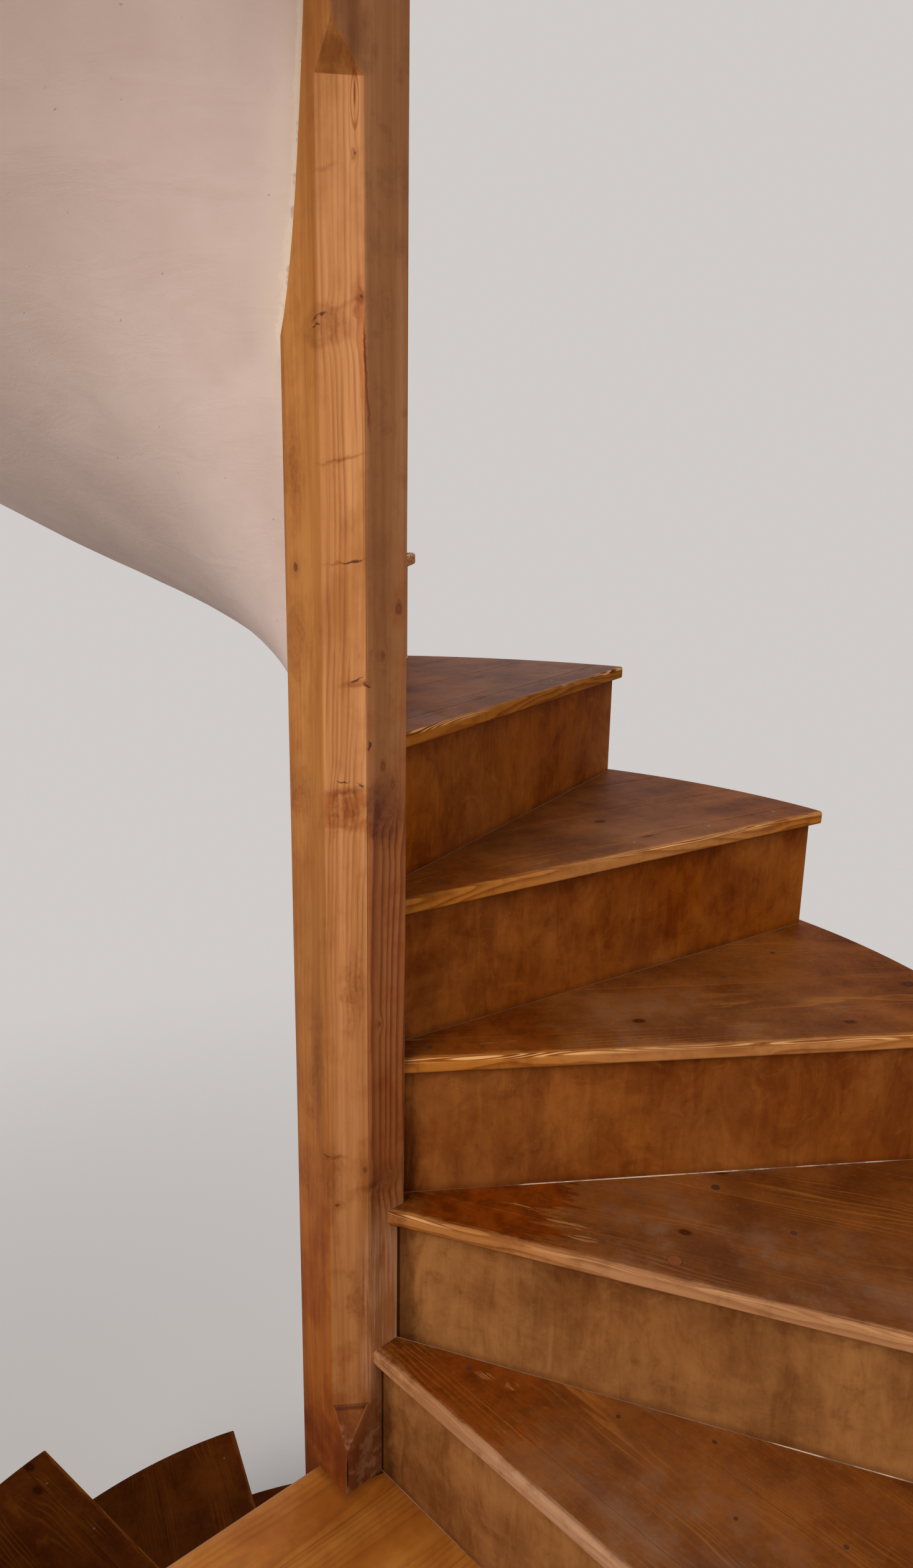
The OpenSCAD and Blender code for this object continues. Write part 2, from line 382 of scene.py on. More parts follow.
# The crack at the newel's foot
CRACK = (0.0015, -0.066, LANDING_Z + 0.036)
CRACK_HALF = (0.0014, 0.02, 0.026)
# Where the newel's left and right faces begin and are fully reached, as -x - y or x - y, and
# where the chamfer's face is still full and ends, as y
NEWEL_FACE = (CORNER_R - 0.0026, CORNER_R - 0.0012)
CHAMFER_FACE = (-0.034, -0.03)


def nearest(paint, x, z, marks):
    """Distance to the nearest mark on the newel's front, counted in that mark's own half size."""
    distances = []
    for mark_x, mark_z, half_x, half_z, *rest in marks:
        slope = rest[0] if rest else 0
        aside = (x - mark_x) / half_x
        above = (z - x * slope - (mark_z - mark_x * slope)) / half_z
        distances.append(paint.length(paint.join(aside, above, 0)))
    return least(distances)


def newel_pattern(paint):
    """The places, masks and noises that the layers of the newel's finish share."""
    place = paint.place()
    x, y, z = paint.split(place)
    left, right = over(0 - x - y, *NEWEL_FACE), over(x - y, *NEWEL_FACE)
    cut = (1 - left) * (1 - right) * under(y, *CHAMFER_FACE)
    low, high = LANDING_Z + CHAMFER_FOOT, TOP_Z - CHAMFER_HEAD
    chamfer = cut * over(z, low - 0.001, low) * under(z, high, high + 0.001)
    front = under(y, -0.001, 0.001)
    wobble = paint.clouds(place, 90, 3)
    cloudy = paint.clouds(place, 26, 5, 0.62)
    loose = paint.vector("ADD", place, paint.join(0, 0, wobble.sway(0.01)))
    near = knot_distance(paint, loose, NEWEL_KNOTS, 1.6)
    burl = nearest(paint, x + cloudy.sway(0.04), z + cloudy.sway(0.06), BURLS)
    bend = (burl * -1).math("EXPONENT") * front
    aside = paint.clouds(place, (30, 30, 11)) - 0.5
    across = x - PITH[0] + aside * bend * 0.055
    return SimpleNamespace(
        x=x, z=z, left=left, right=right, front=front, chamfer=chamfer, stop=cut * (1 - chamfer),
        wobble=wobble, cloudy=cloudy, near=near, burl=burl,
        late=growth(paint, z, across, y - PITH[1], right * 0.0046 + 0.0058, near),
        fibre=paint.clouds(place, (240, 240, 4), 5, 0.65),
        bands=paint.clouds(place, (34, 34, 1.1), 5, 0.6),
        fade=paint.clouds(place, (60, 60, 3.2), 3),
        blotch=paint.clouds(place, (11, 11, 5), 6, 0.62))


def newel_rings(paint, post):
    """The newel's faces in their own tones, the right one darkened as painted shade, with growth
    rings. Also how strong the rings are.
    """
    z, right, chamfer = post.z, post.right, post.chamfer
    wood = paint.colour(over(post.bands, 0.34, 0.66), (0.455, 0.182, 0.053),
                        (0.62, 0.285, 0.112))
    wood = wood.tint((1 - chamfer) * (1 - right), (0.77, 0.69, 0.42))
    wood = wood.tint(post.stop * (over(post.cloudy, 0.4, 0.6) * 0.45 + 0.4),
                     (0.6, 0.5, 0.38))
    # Painted shade: the right face darker than the others
    wood = wood.tint(right, (0.54, 0.5, 0.46))
    stripes = right * between(z, 1.62, 1.8, 2.16, 2.21)
    below = right * between(z, 1.52, 1.6, 1.66, 1.7)
    ringed = over(z, 1.6, 2.4) * 0.32 - over(z, 2.7, 2.78) * 0.16
    lined = over(post.fade, 0.34, 0.6) * (0.1 + chamfer * ringed)
    rings = post.late * (lined + 0.04 + stripes * 0.66 + below * 0.5)
    wood = wood.tint(rings, (0.42, 0.24, 0.12))
    return wood.tint(stripes * 0.6, (1.1, 0.82, 0.52)), rings


def newel_stains(wood, post):
    """Fibres, clouds in the varnish, and the darker tone and dirt towards the foot."""
    z, left, right, cloudy, blotch = post.z, post.left, post.right, post.cloudy, post.blotch
    wood = wood.tint(over(post.fibre, 0.46, 0.72) * (0.42 - right * 0.22), (0.66, 0.53, 0.38))
    wood = wood.tint(over(blotch, 0.46, 0.64) * 0.62, (0.7, 0.56, 0.34))
    smoky = over(cloudy + blotch.sway(0.7), 0.42, 0.64) * over(z, 2.4, 2.6)
    wood = wood.tint(smoky * right * 0.45, (0.7, 0.64, 0.6))
    wood = wood.tint(over(cloudy, 0.5, 0.72) * 0.42, (0.74, 0.62, 0.44))
    mottled = right * over(post.bands + cloudy.sway(0.6), 0.46, 0.62) * under(z, 2.44, 2.56)
    wood = wood.tint(mottled * 0.5, (0.96, 0.66, 0.36))
    wood = wood.tint(under(z, 1.2, 2.75) * (0.85 - right * 0.65), (0.64, 0.52, 0.38))
    wood = wood.tint(post.chamfer * under(z, 1.45, 1.95), (0.84, 0.87, 0.88))
    wood = wood.tint(left * under(z, 1.5, 2.0), (1.1, 0.94, 0.62))
    grimy = under(z, 1.45, 1.95) * over(blotch + cloudy.sway(0.6), 0.46, 0.62)
    wood = wood.tint(grimy * (1 - right) * 0.45, (0.78, 0.58, 0.4))
    foot = under(z - LANDING_Z, 0.05, 0.16) * over(blotch + cloudy, 0.7, 1.05)
    wood = wood.tint(foot * 0.85, (0.52, 0.37, 0.26))
    bruised = under(z - LANDING_Z, 0.12, 0.14)
    bruised = bruised * under(cloudy + post.wobble.sway(0.5), 0.4, 0.5)
    return wood.coat(bruised * post.front * (1 - left) * 0.4, (0.33, 0.165, 0.095))


def newel_whorls(paint, wood, post):
    """Swirls, creases, checks and knots where branches grew. Also the creases and the checks."""
    z, right, front, cloudy, wobble = post.z, post.right, post.front, post.cloudy, post.wobble
    jagged_x, jagged_z = post.x + wobble.sway(0.01), z + wobble.sway(0.012)
    swirl = ((post.burl + wobble * 1.4) * 9).ripple()
    soft = under(post.burl, 0.3, 1.3) * front
    upper = under(z, 2.28, 2.34)
    wood = wood.tint(soft * (0.4 + swirl * 0.26 + right * (upper * 0.5 - 0.34)),
                     (0.54, 0.37, 0.19))
    brown = soft * right * upper * over(z, 2.08, 2.13)
    wood = wood.tint(brown * (0.45 + swirl * 0.3), (0.46, 0.32, 0.22))
    flame = over(z + cloudy.sway(0.05), 2.15, 2.178) * under(z, 2.208, 2.22)
    flame = flame * post.chamfer * over(cloudy + swirl * 0.15, 0.4, 0.62)
    wood = wood.tint(flame * 0.62, (0.74, 0.48, 0.22))
    crease = nearest(paint, jagged_x, jagged_z + cloudy.sway(0.01), CREASES)
    folded = under(crease, 0, 1.4) * front * (0.36 + under(z, 2.62, 2.66) * 0.34)
    wood = wood.tint(folded, (0.5, 0.33, 0.16))
    check = nearest(paint, jagged_x, jagged_z, CHECKS)
    mark = under(check, 0.55, 1.15) * over(wobble, 0.34, 0.46) * front
    wood = wood.tint(mark * 0.88, (0.22, 0.12, 0.06))
    wood = knot_wood(paint, post.near, wood, (0.12, 0.034, 0.008), (0.23, 0.07, 0.015), 0.6)
    return wood, folded, mark


def newel_scars(paint, wood, post):
    """Worn arrises, the resin streak, the stained split under it, the crack at the foot, and a
    painted shadow line under the chamfer's ledge.
    """
    x, z, left, right, front = post.x, post.z, post.left, post.right, post.front
    worn = (left * (1 - left) + right * (1 - right)) * 4 * over(post.cloudy, 0.4, 0.62)
    streaky = over(x, 0.01, 0.026) * between(z, 1.35, 1.4, 1.58, 1.66)
    streaky = streaky * (post.chamfer + right) * over(post.blotch + post.fibre, 0.86, 1.1)
    wood = wood.coat(worn * 0.2 + streaky * 0.5, (0.5, 0.27, 0.15))
    resin = paint.distance(paint.place(), RESIN, RESIN_HALF)
    drip = paint.distance(paint.place(), (*RESIN[:2], RESIN[2] + DRIP_UP), DRIP_HALF)
    wood = wood.tint(between(resin, 0.7, 0.9, 0.95, 1.15) * 0.75, (0.62, 0.36, 0.16))
    wood = wood.coat(under(drip, 0.5, 1.05) * 0.85, (0.2, 0.04, 0.005))
    trail = x - 0.027 - (2.71 - z) * 0.055 + post.wobble.sway(0.005)
    stained = under((trail + 0.002).math("ABSOLUTE"), 0.0016, 0.005)
    stained = stained * between(z, 2.6, 2.64, 2.74, 2.78) * front
    wood = wood.tint(stained * 0.55, (0.8, 0.48, 0.22))
    split = under(trail.math("ABSOLUTE"), 0.0005, 0.0015)
    split = split * between(z, 2.605, 2.63, 2.705, 2.73) * front
    wood = wood.coat(split * 0.85, (0.13, 0.028, 0.004))
    crack = paint.distance(paint.place(), CRACK, CRACK_HALF)
    wood = wood.coat(under(crack, 0.6, 1.1), (0.024, 0.008, 0.002))
    # Painted shadow: a dark line just under the ledge at the chamfer's foot
    from_ledge = (z - LANDING_Z - CHAMFER_FOOT + 0.002).math("ABSOLUTE")
    ledge = under(from_ledge, 0.001, 0.004) * (1 - left) * (1 - right) * front
    return wood.tint(ledge * 0.7, (0.3, 0.2, 0.15))


def newel_pine():
    """Varnished pine: a pale chamfer between a tanned left face and a right face darkened as
    painted shade.
    """
    paint = Paint("newel_pine")
    post = newel_pattern(paint)
    wood, rings = newel_rings(paint, post)
    wood, folded, mark = newel_whorls(paint, newel_stains(wood, post), post)
    wood = newel_scars(paint, wood, post)
    height = rings * 0.6 + post.fibre * 0.25 + post.cloudy * 0.2 - mark * 0.5 - folded * 0.25
    return paint.surface(wood, 0.5 + post.blotch * 0.12, height, 0.0006, OILED_SHINE)


# Knots in the treads' timber, in the boards' own grain coordinates
PLANK_KNOTS = [
    ((0.3, 0.055, 0), 0.0065, 0), ((0.85, 0.15, 0), 0.009, 0),
    ((1.3, 0.03, 0), 0.007, 0), ((1.75, 0.11, 0), 0.011, 0),
    ((2.2, 0.07, 0), 0.005, 0), ((2.65, 0.165, 0), 0.008, 0),
    ((3.2, 0.045, 0), 0.01, 0), ((3.8, 0.125, 0), 0.006, 0),
]


def plank_growth(paint, spacing, bend):
    """The knots, rings and fibres of a board that carries its own grain coordinates."""
    grain = paint.attribute("grain")
    along, across, through = paint.split(grain)
    flat = paint.vector("MULTIPLY_ADD", grain, (1, 1, 0), (0, 0, 0))
    near = knot_distance(paint, flat, PLANK_KNOTS)
    late = growth(paint, along, across - 0.09, through + 0.055, spacing, near, bend)
    return near, late, paint.clouds(grain, (9, 380, 380), 3)


# Pale chips in the steps' finish: step, place along and behind its nosing, half length and half
# width, and the turn of the mark from the nosing's line, in degrees
CHIPS = [
    (2, 0.276, 0.06, 0.04, 0.009, -4), (2, 0.306, 0.036, 0.03, 0.009, 8),
    (2, 0.215, 0.072, 0.036, 0.004, -2), (1, 0.18, 0.08, 0.015, 0.008, 30),
    (1, 0.217, 0.095, 0.011, 0.008, 60), (3, 0.19, 0.034, 0.034, 0.0036, 4),
    (3, 0.54, 0.118, 0.06, 0.0034, 2), (4, 0.33, 0.036, 0.016, 0.008, 12),
]
# Greyer spots where shoes have rubbed the finish dull, with a painted grey sheen, listed in the
# same way
SCUFF_SHEEN_SPOTS = [
    (2, 0.52, 0.118, 0.024, 0.018, 0), (2, 0.72, 0.05, 0.085, 0.03, -6),
    (2, 0.43, 0.24, 0.09, 0.012, 20), (1, 0.44, 0.05, 0.08, 0.018, 0),
    (1, 0.33, 0.195, 0.05, 0.014, 8), (1, 0.56, 0.09, 0.04, 0.016, 12),
]
# Half the height of such a mark, which reaches into the board
MARK_DEPTH = 0.01


def mark_distance(paint, marks):
    """Distance to the nearest mark on the steps, counted in that mark's own half size."""
    distances = []
    for n, x, y, half_x, half_y, turn in marks:
        values = {"Vector": paint.place(), "Location": on_step(n, x, y, 0)}
        values["Rotation"] = (0, 0, step_angle(n) + math.radians(turn))
        values["Scale"] = (half_x, half_y, MARK_DEPTH)
        spot = paint.node("ShaderNodeMapping", {"vector_type": "TEXTURE"}, values)
        distances.append(paint.length(spot))
    return least(distances)


def tread_pattern(paint):
    """The places, amounts of wear and noises that the layers of the treads' finish share."""
    x, y, z = paint.split(paint.attribute("place"))
    near, late, fibre = plank_growth(paint, 0.0058, 3.4)
    grain, place = paint.attribute("grain"), paint.place()
    return SimpleNamespace(
        x=x, y=y, z=z, grain=grain, place=place, near=near, late=late, fibre=fibre,
        wear=paint.attribute("wear", "Fac"), patch=paint.attribute("patch", "Fac"),
        blotch=paint.clouds(place, 7, 5, 0.62),
        ragged=paint.clouds(place, 38, 5, 0.65),
        lay=paint.clouds(grain, (2.2, 15, 15), 4, 0.6),
        cluster=paint.clouds(grain, (3.6, 13, 13), 3, shift=(3.1, 0.7, 0)))


def tread_stain(paint, board):
    """A dark uneven stain, which the late wood shows through as thin paler lines."""
    wood = paint.colour(over(board.blotch, 0.3, 0.7), (0.108, 0.026, 0.0034),
                        (0.238, 0.072, 0.0116))
    wood = wood.coat(over(board.lay, 0.42, 0.7) * 0.45, (0.275, 0.088, 0.015))
    wood = wood.tint(over(board.ragged, 0.46, 0.74) * 0.45, (0.6, 0.5, 0.42))
    shown = over(board.cluster, 0.51, 0.66) * 0.42 + 0.02
    wood = wood.coat(board.late.math("POWER", 3) * shown, (0.43, 0.158, 0.026))
    speck = paint.clouds(board.place, 150, 3, 0.7)
    wood = wood.tint(over(board.fibre, 0.5, 0.8) * 0.2, (0.5, 0.4, 0.32))
    wood = wood.tint(over(speck, 0.52, 0.7) * 0.34, (0.62, 0.52, 0.44))
    return wood.coat(under(speck, 0.32, 0.42) * 0.22, (0.33, 0.118, 0.024))


def tread_use(paint, wood, board):
    """Scuffs with a painted grey sheen, old varnish beside the newel and chips. Also the masks of
    scuffs and varnish.
    """
    x, y, ragged, blotch = board.x, board.y, board.ragged, board.blotch
    # Greyish scuffs where feet walk: worn finish, and a painted grey sheen on it
    walked = between(x, 0.22, 0.42, 0.58, 0.86) * (under(y, 0.08, 0.22) * 0.8 + 0.2)
    scuff_and_sheen = walked * over(board.wear, 0.45, 0.8)
    scuff_and_sheen = scuff_and_sheen * (over(ragged + blotch, 0.94, 1.22) * 0.75 + 0.25)
    wood = wood.coat(scuff_and_sheen * 0.5, (0.235, 0.142, 0.088))
    scuff_sheen_spot = mark_distance(paint, SCUFF_SHEEN_SPOTS) + ragged.sway(2.4)
    wood = wood.coat(under(scuff_sheen_spot, 0.2, 1.4) * 0.24, (0.225, 0.14, 0.098))
    shred = paint.clouds(board.grain, (11, 90, 90), 5, 0.7)
    edge = x + shred.sway(0.26) + ragged.sway(0.12)
    torn = under(edge, 0.262, 0.276) * over(edge, 0.08, 0.115)
    varnish = torn * board.patch * over(y, 0.004, 0.01) * over(ragged + blotch, 0.62, 0.9)
    sticky = paint.colour(over(ragged, 0.34, 0.66), (0.214, 0.04, 0.002),
                          (0.112, 0.0192, 0.001))
    wood = wood.coat(varnish * 0.88, sticky)
    flecks = paint.clouds(board.grain, (26, 420, 420), 4, 0.65)
    chip = mark_distance(paint, CHIPS) + ragged.sway(1.6)
    chipped = under(chip, 0.55, 1.05) * over(flecks, 0.49, 0.58)
    return wood.coat(chipped * 0.62, (0.44, 0.21, 0.072)), scuff_and_sheen, varnish


def tread_nosing(paint, wood, board):
    """Wood that feet have bared along the nosing, and a painted highlight on the arris, broken by
    its rings.
    """
    y, z, wear, ragged, grain = board.y, board.z, board.wear, board.ragged, board.grain
    scrubbed = over(wear, 0.5, 1.0)
    bare = paint.colour(scrubbed, (0.54, 0.205, 0.027), (0.485, 0.276, 0.162))
    bare = bare.tint(board.late * (0.85 - scrubbed * 0.6), (0.4, 0.26, 0.15))
    bare = bare.tint(over(ragged, 0.48, 0.72) * 0.45, (0.52, 0.38, 0.28))
    bare = bare.tint(over(board.fibre, 0.5, 0.85) * 0.3, (0.62, 0.5, 0.4))
    rub = paint.clouds(grain, (7, 240, 240), 4, 0.7)
    edge = under(y + ragged.sway(0.008) + rub.sway(0.018) - wear * 0.005, 0, 0.008)
    wood = wood.coat(edge * (wear * 0.8 + 0.14), bare)
    loops = (paint.clouds(grain, (4.5, 60, 60), 1) * 76).math("SINE")
    fresh = under(wear, 0.62, 0.9) * 0.85 + 0.1
    face = under(z, -0.01, -0.005) * under(y, 0.004, 0.008) * fresh
    wood = wood.tint(face * 0.6, (0.94, 0.9, 0.84))
    # Painted highlight along the arris where feet have worn it less, with the grain's loops as dark
    # lines in it
    arris = under(y, 0.001, 0.005) * over(z, -0.007, -0.004) * fresh
    arris = arris * over(board.cluster + board.lay, 0.84, 1.0)
    wood = wood.tint(arris * under(loops, -0.8, -0.2) * 0.85, (0.42, 0.28, 0.18))
    return wood.coat(arris * over(loops, 0.0, 0.6) * 0.62, (0.84, 0.52, 0.245))


def tread_pine(name, tone):
    """Stained pine, worn in front and scuffed with a painted grey sheen, with old varnish left
    beside the newel.
    """
    paint = Paint(name)
    board = tread_pattern(paint)
    wood, scuff_and_sheen, varnish = tread_use(paint, tread_stain(paint, board), board)
    wood = knot_wood(paint, board.near, wood, (0.05, 0.012, 0.003), (0.13, 0.036, 0.007))
    wood = tread_nosing(paint, wood, board)
    # Painted shade: the boards darker on their undersides
    underside_shade = under(board.z, -BOARD_T + 0.001, -BOARD_T + 0.004)
    wood = wood.tint(underside_shade * 0.6, (0.45, 0.32, 0.24))
    dirt = under(board.x - NEWEL_SIDE / 2, 0, 0.06) * over(board.ragged, 0.35, 0.65)
    # Then the given tone: the upper flight's own colour, and for the lower flight painted shade
    wood = wood.tint(dirt * 0.65, (0.3, 0.22, 0.2)).tint(1, tone)
    rough = 0.56 - varnish * 0.24 + scuff_and_sheen * 0.06 + board.ragged.sway(0.14)
    height = board.late * 0.12 + board.fibre * 0.35 + board.ragged * 0.2
    return paint.surface(wood, rough, height, 0.0007, STAINED_SHINE)


def off_newel(place):
    """Distance out from the newel's square, along x and y together."""
    x, y, _ = place.paint.split(place)
    return x.math("ABSOLUTE") + y.math("ABSOLUTE") - CORNER_R


def landing_pine():
    """Pine under an orange varnish that has gone cloudy."""
    paint = Paint("landing_pine")
    near, late, fibre = plank_growth(paint, 0.0064, 1.8)
    y = paint.split(paint.attribute("place"))[1]
    place = paint.place()
    blotch = paint.clouds(place, 6, 5, 0.62)
    ragged = paint.clouds(place, 30, 5, 0.65)
    lay = paint.clouds(paint.attribute("grain"), (2.5, 22, 22), 4)
    wood = paint.colour(over(blotch, 0.3, 0.7), (0.285, 0.078, 0.0065), (0.45, 0.16, 0.023))
    wood = wood.coat(over(lay, 0.45, 0.75) * 0.45, (0.53, 0.23, 0.046))
    wood = wood.tint(late * 0.26, (0.42, 0.3, 0.24))
    wood = wood.tint(over(fibre, 0.52, 0.85) * 0.3, (0.55, 0.44, 0.36))
    wood = wood.tint(over(ragged, 0.5, 0.74) * 0.3, (0.66, 0.52, 0.36))
    wood = wood.tint(over(ragged + lay, 1.06, 1.24) * 0.12, (0.38, 0.28, 0.22))
    wood = knot_wood(paint, near, wood, (0.085, 0.022, 0.004), (0.19, 0.054, 0.009))
    edge = under(y + ragged.sway(0.012), 0.004, 0.012)
    wood = wood.coat(edge * 0.4, (0.42, 0.18, 0.055))
    dirt = under(off_newel(place) + ragged.sway(0.03), 0, 0.022)
    wood = wood.tint(dirt * 0.6, (0.42, 0.32, 0.28))
    rough = 0.46 + ragged.sway(0.16)
    return paint.surface(wood, rough, late * 0.3 + fibre * 0.3, 0.0005, OILED_SHINE)


# How fast the plies follow each other through the sheet, in radians to the metre
PLIES = 2240


def riser_ply():
    """Stained birch plywood: a mottled face with upright grain, and bare plies at its ends."""
    paint = Paint("riser_ply")
    x, y, z = paint.split(paint.attribute("place"))
    grain = paint.attribute("grain")
    faded = paint.attribute("wear", "Fac") + paint.clouds(grain, 3.4, 3).sway(0.9)
    blotch = paint.clouds(grain, 5, 6, 0.62, 0.6)
    cloudy = paint.clouds(grain, 19, 5, 0.62, 1.6)
    upright = paint.clouds(grain, (170, 40, 7), 4, 0.6)
    figure = (paint.clouds(grain, (7, 1, 2), warp=1.4) * 30).ripple() * over(blotch, 0.35, 0.65)
    streaks = paint.clouds(grain, (34, 20, 9), 5, 0.62, 1.2)
    speck = paint.clouds(paint.place(), 130, 3, 0.7)
    dark = paint.colour(faded, (0.118, 0.019, 0.0008), (0.152, 0.05, 0.0125))
    light = paint.colour(faded, (0.266, 0.067, 0.0036), (0.35, 0.15, 0.046))
    tone = over(blotch, 0.36, 0.64) * 0.58 + over(streaks, 0.36, 0.64) * 0.26 + 0.07
    wood = dark.coat(tone, light)
    wood = wood.tint(over(cloudy, 0.48, 0.68) * 0.3, (0.6, 0.5, 0.42))
    wood = wood.tint(over(upright, 0.46, 0.76) * 0.26, (0.6, 0.5, 0.42))
    wood = wood.coat(figure * 0.12, light)
    wood = wood.coat(under(cloudy, 0.32, 0.44) * 0.3, light)
    stain = paint.clouds(grain, 13, 5, 0.68, 1)
    wood = wood.tint(over(stain, 0.55, 0.68) * 0.42, (0.56, 0.46, 0.4))
    wood = wood.tint(over(speck, 0.54, 0.7) * 0.26, (0.62, 0.52, 0.44))
    beside = x - paint.attribute("patch", "Fac")
    # Darker towards the newel end
    newel_end_darkening = under(beside + streaks.sway(0.06) + (z - 0.06) * 0.08, 0.01, 0.044)
    wood = wood.tint(newel_end_darkening * 0.85, (0.32, 0.27, 0.24))
    wood = wood.tint(under(beside, 0.003, 0.005) * 0.85, (0.14, 0.11, 0.1))
    foot = under(z + cloudy.sway(0.016), 0.001, 0.014)
    wood = wood.tint(foot * 0.5, (0.4, 0.32, 0.28))
    # Painted shade: darker along the riser's top, under the nosing
    head = over(z + cloudy.sway(0.05), RISE - BOARD_T - 0.035, RISE - BOARD_T - 0.004)
    wood = wood.tint(head * 0.45, (0.48, 0.4, 0.34))
    inner = between(y, 0.0009, 0.0013, RISER_T - 0.0013, RISER_T - 0.0009)
    bare = paint.colour((y * PLIES).ripple(), (0.36, 0.205, 0.095), (0.6, 0.41, 0.22))
    wood = wood.coat(inner, bare)
    rough = 0.56 + cloudy.sway(0.2)
    return paint.surface(wood, rough, upright * 0.4 + cloudy * 0.3, 0.0004, PLY_SHINE)


def sawn_timber():
    """Pale sawn pine, whose fibres run out from the newel as the joists and battens do."""
    paint = Paint("sawn_timber")
    place = paint.place()
    x, y, z = paint.split(place)
    grain = paint.join(paint.length(paint.join(x, y, 0)), y.math("ARCTAN2", x) * 0.5, z)
    fibre = paint.clouds(grain, (12, 420, 420), 3)
    blotch = paint.clouds(place, 7, 4, 0.6)
    saw = paint.clouds(grain, (260, 14, 14))
    wood = paint.colour(blotch, (0.4, 0.225, 0.1), (0.56, 0.36, 0.185))
    wood = wood.tint(over(paint.clouds(grain, (3, 60, 60), 4, 0.6), 0.46, 0.6) * 0.45,
                     (0.62, 0.46, 0.34))
    wood = wood.tint(over(fibre, 0.5, 0.8) * 0.4, (0.6, 0.48, 0.38))
    wood = wood.tint(over(saw, 0.5, 0.75) * 0.25, (0.75, 0.66, 0.58))
    return paint.surface(wood, 0.75 - blotch * 0.1, saw * 0.5 + fibre * 0.5, 0.001)


def plaster():
    """Smooth hand-trowelled plaster, a little uneven in tone, with a chalky edge at the newel."""
    paint = Paint("plaster")
    place = paint.place()
    broad = paint.clouds(place, 2.4, 5, 0.6)
    trowel = paint.clouds(place, (8, 8, 22), 5, 0.62, 0.9)
    grit = paint.clouds(place, 420, 3, 0.6)
    pits = over(paint.clouds(place, 95, 2), 0.74, 0.8)
    white = paint.colour(over(broad, 0.3, 0.72), (0.56, 0.425, 0.376), (0.668, 0.53, 0.482))
    white = white.tint(over(trowel, 0.48, 0.78) * 0.3, (0.86, 0.82, 0.79))
    white = white.tint(pits * 0.35, (0.62, 0.56, 0.5))
    torn = paint.clouds(place, (60, 60, 38), 4, 0.7)
    away, z = off_newel(place), paint.split(place)[2]
    beside = away + torn.sway(0.02)
    lip = under(beside, 0.004, 0.048) * over(z, LANDING_Z + 0.9, LANDING_Z + 1.3)
    white = white.coat(lip * 0.4, (0.74, 0.6, 0.48))
    chalk = under(beside, 0.001, 0.007)
    white = white.coat(chalk * 0.42, (0.78, 0.66, 0.5))
    chink = under(away - torn.sway(0.01), 0.0002, 0.0014) * over(torn, 0.52, 0.62)
    white = white.coat(chink * 0.45, (0.3, 0.18, 0.1))
    uneven = trowel * 0.6 + grit * 0.1 - pits * 0.25 + chalk * torn * 0.8
    return paint.surface(white, 0.88 + grit.sway(0.1), uneven, 0.0024, PLASTER_SHINE)


def filler():
    """The bead of decorator's filler along the risers, dirty in places."""
    paint = Paint("filler")
    dirty = paint.clouds(paint.place(), 16, 5, 0.65)
    tone = paint.colour(over(dirty, 0.4, 0.6), (0.49, 0.375, 0.285), (0.13, 0.06, 0.03))
    clean = paint.attribute("clean", "Fac")
    tone = tone.coat(under(clean, 0.1, 0.45) * 0.9, (0.11, 0.048, 0.019))
    return paint.surface(tone, 0.65, dirty, 0.0003)


def dark_hole():
    # Dark grime for the nail holes, also used as the painted shadow round the plugs
    paint = Paint("nail_hole_and_plug_shadow")
    grime = paint.clouds(paint.place(), 300, 3)
    tone = paint.colour(grime, (0.034, 0.011, 0.004), (0.085, 0.027, 0.009))
    return paint.surface(tone, 0.6, grime, 0.0003)


def red_plug():
    paint = Paint("pine_plug")
    fibre = paint.clouds(paint.place(), (500, 500, 60), 3)
    tone = paint.colour(fibre, (0.17, 0.038, 0.005), (0.26, 0.07, 0.011))
    return paint.surface(tone, 0.45, fibre, 0.0003)


# Meshes

# Distances below which two places are one: along a board's edge, and between merged points.
# Below a cosine of PARALLEL a line runs along a face of the newel.
SAME, TOUCH = 1e-5, 1e-6
PARALLEL = 1e-9
# Spans along a tread or a nosing board, a floor board, a riser and a bead
TREAD_SPANS, FLOOR_SPANS, RISER_SPANS, BEAD_SPANS = 60, 48, 24, 90


def newel_exit(angle, off, half):
    """Where the line at this angle and offset leaves the newel's square, or None if it misses."""
    exits, enters = [], []
    for quarter in range(4):
        normal = math.pi / 4 + quarter * math.pi / 2 - angle
        lead, reach = math.cos(normal), half - off * math.sin(normal)
        if lead > PARALLEL:
            exits.append(reach / lead)
        elif lead < -PARALLEL:
            enters.append(reach / lead)
    far, near = min(exits), max(enters)
    return far if far > near else None


def back_line(turn, off):
    """The x at which a row at y meets the line at this turn and offset."""
    return lambda y: (y * math.cos(turn) - off) / math.sin(turn)


def clear_of_newel(angle):
    """The x at which a row at y, beside the line at this angle, starts inside the newel."""
    def start(y):
        out = newel_exit(angle, y, NEWEL_SIDE / 2 - BITE)
        return -1 if out is None else out
    return start


def arc_end(radius):
    return lambda y: math.sqrt(max(radius * radius - y * y, 1e-8))


def last_of(*starts):
    return lambda y: max(start(y) for start in starts)


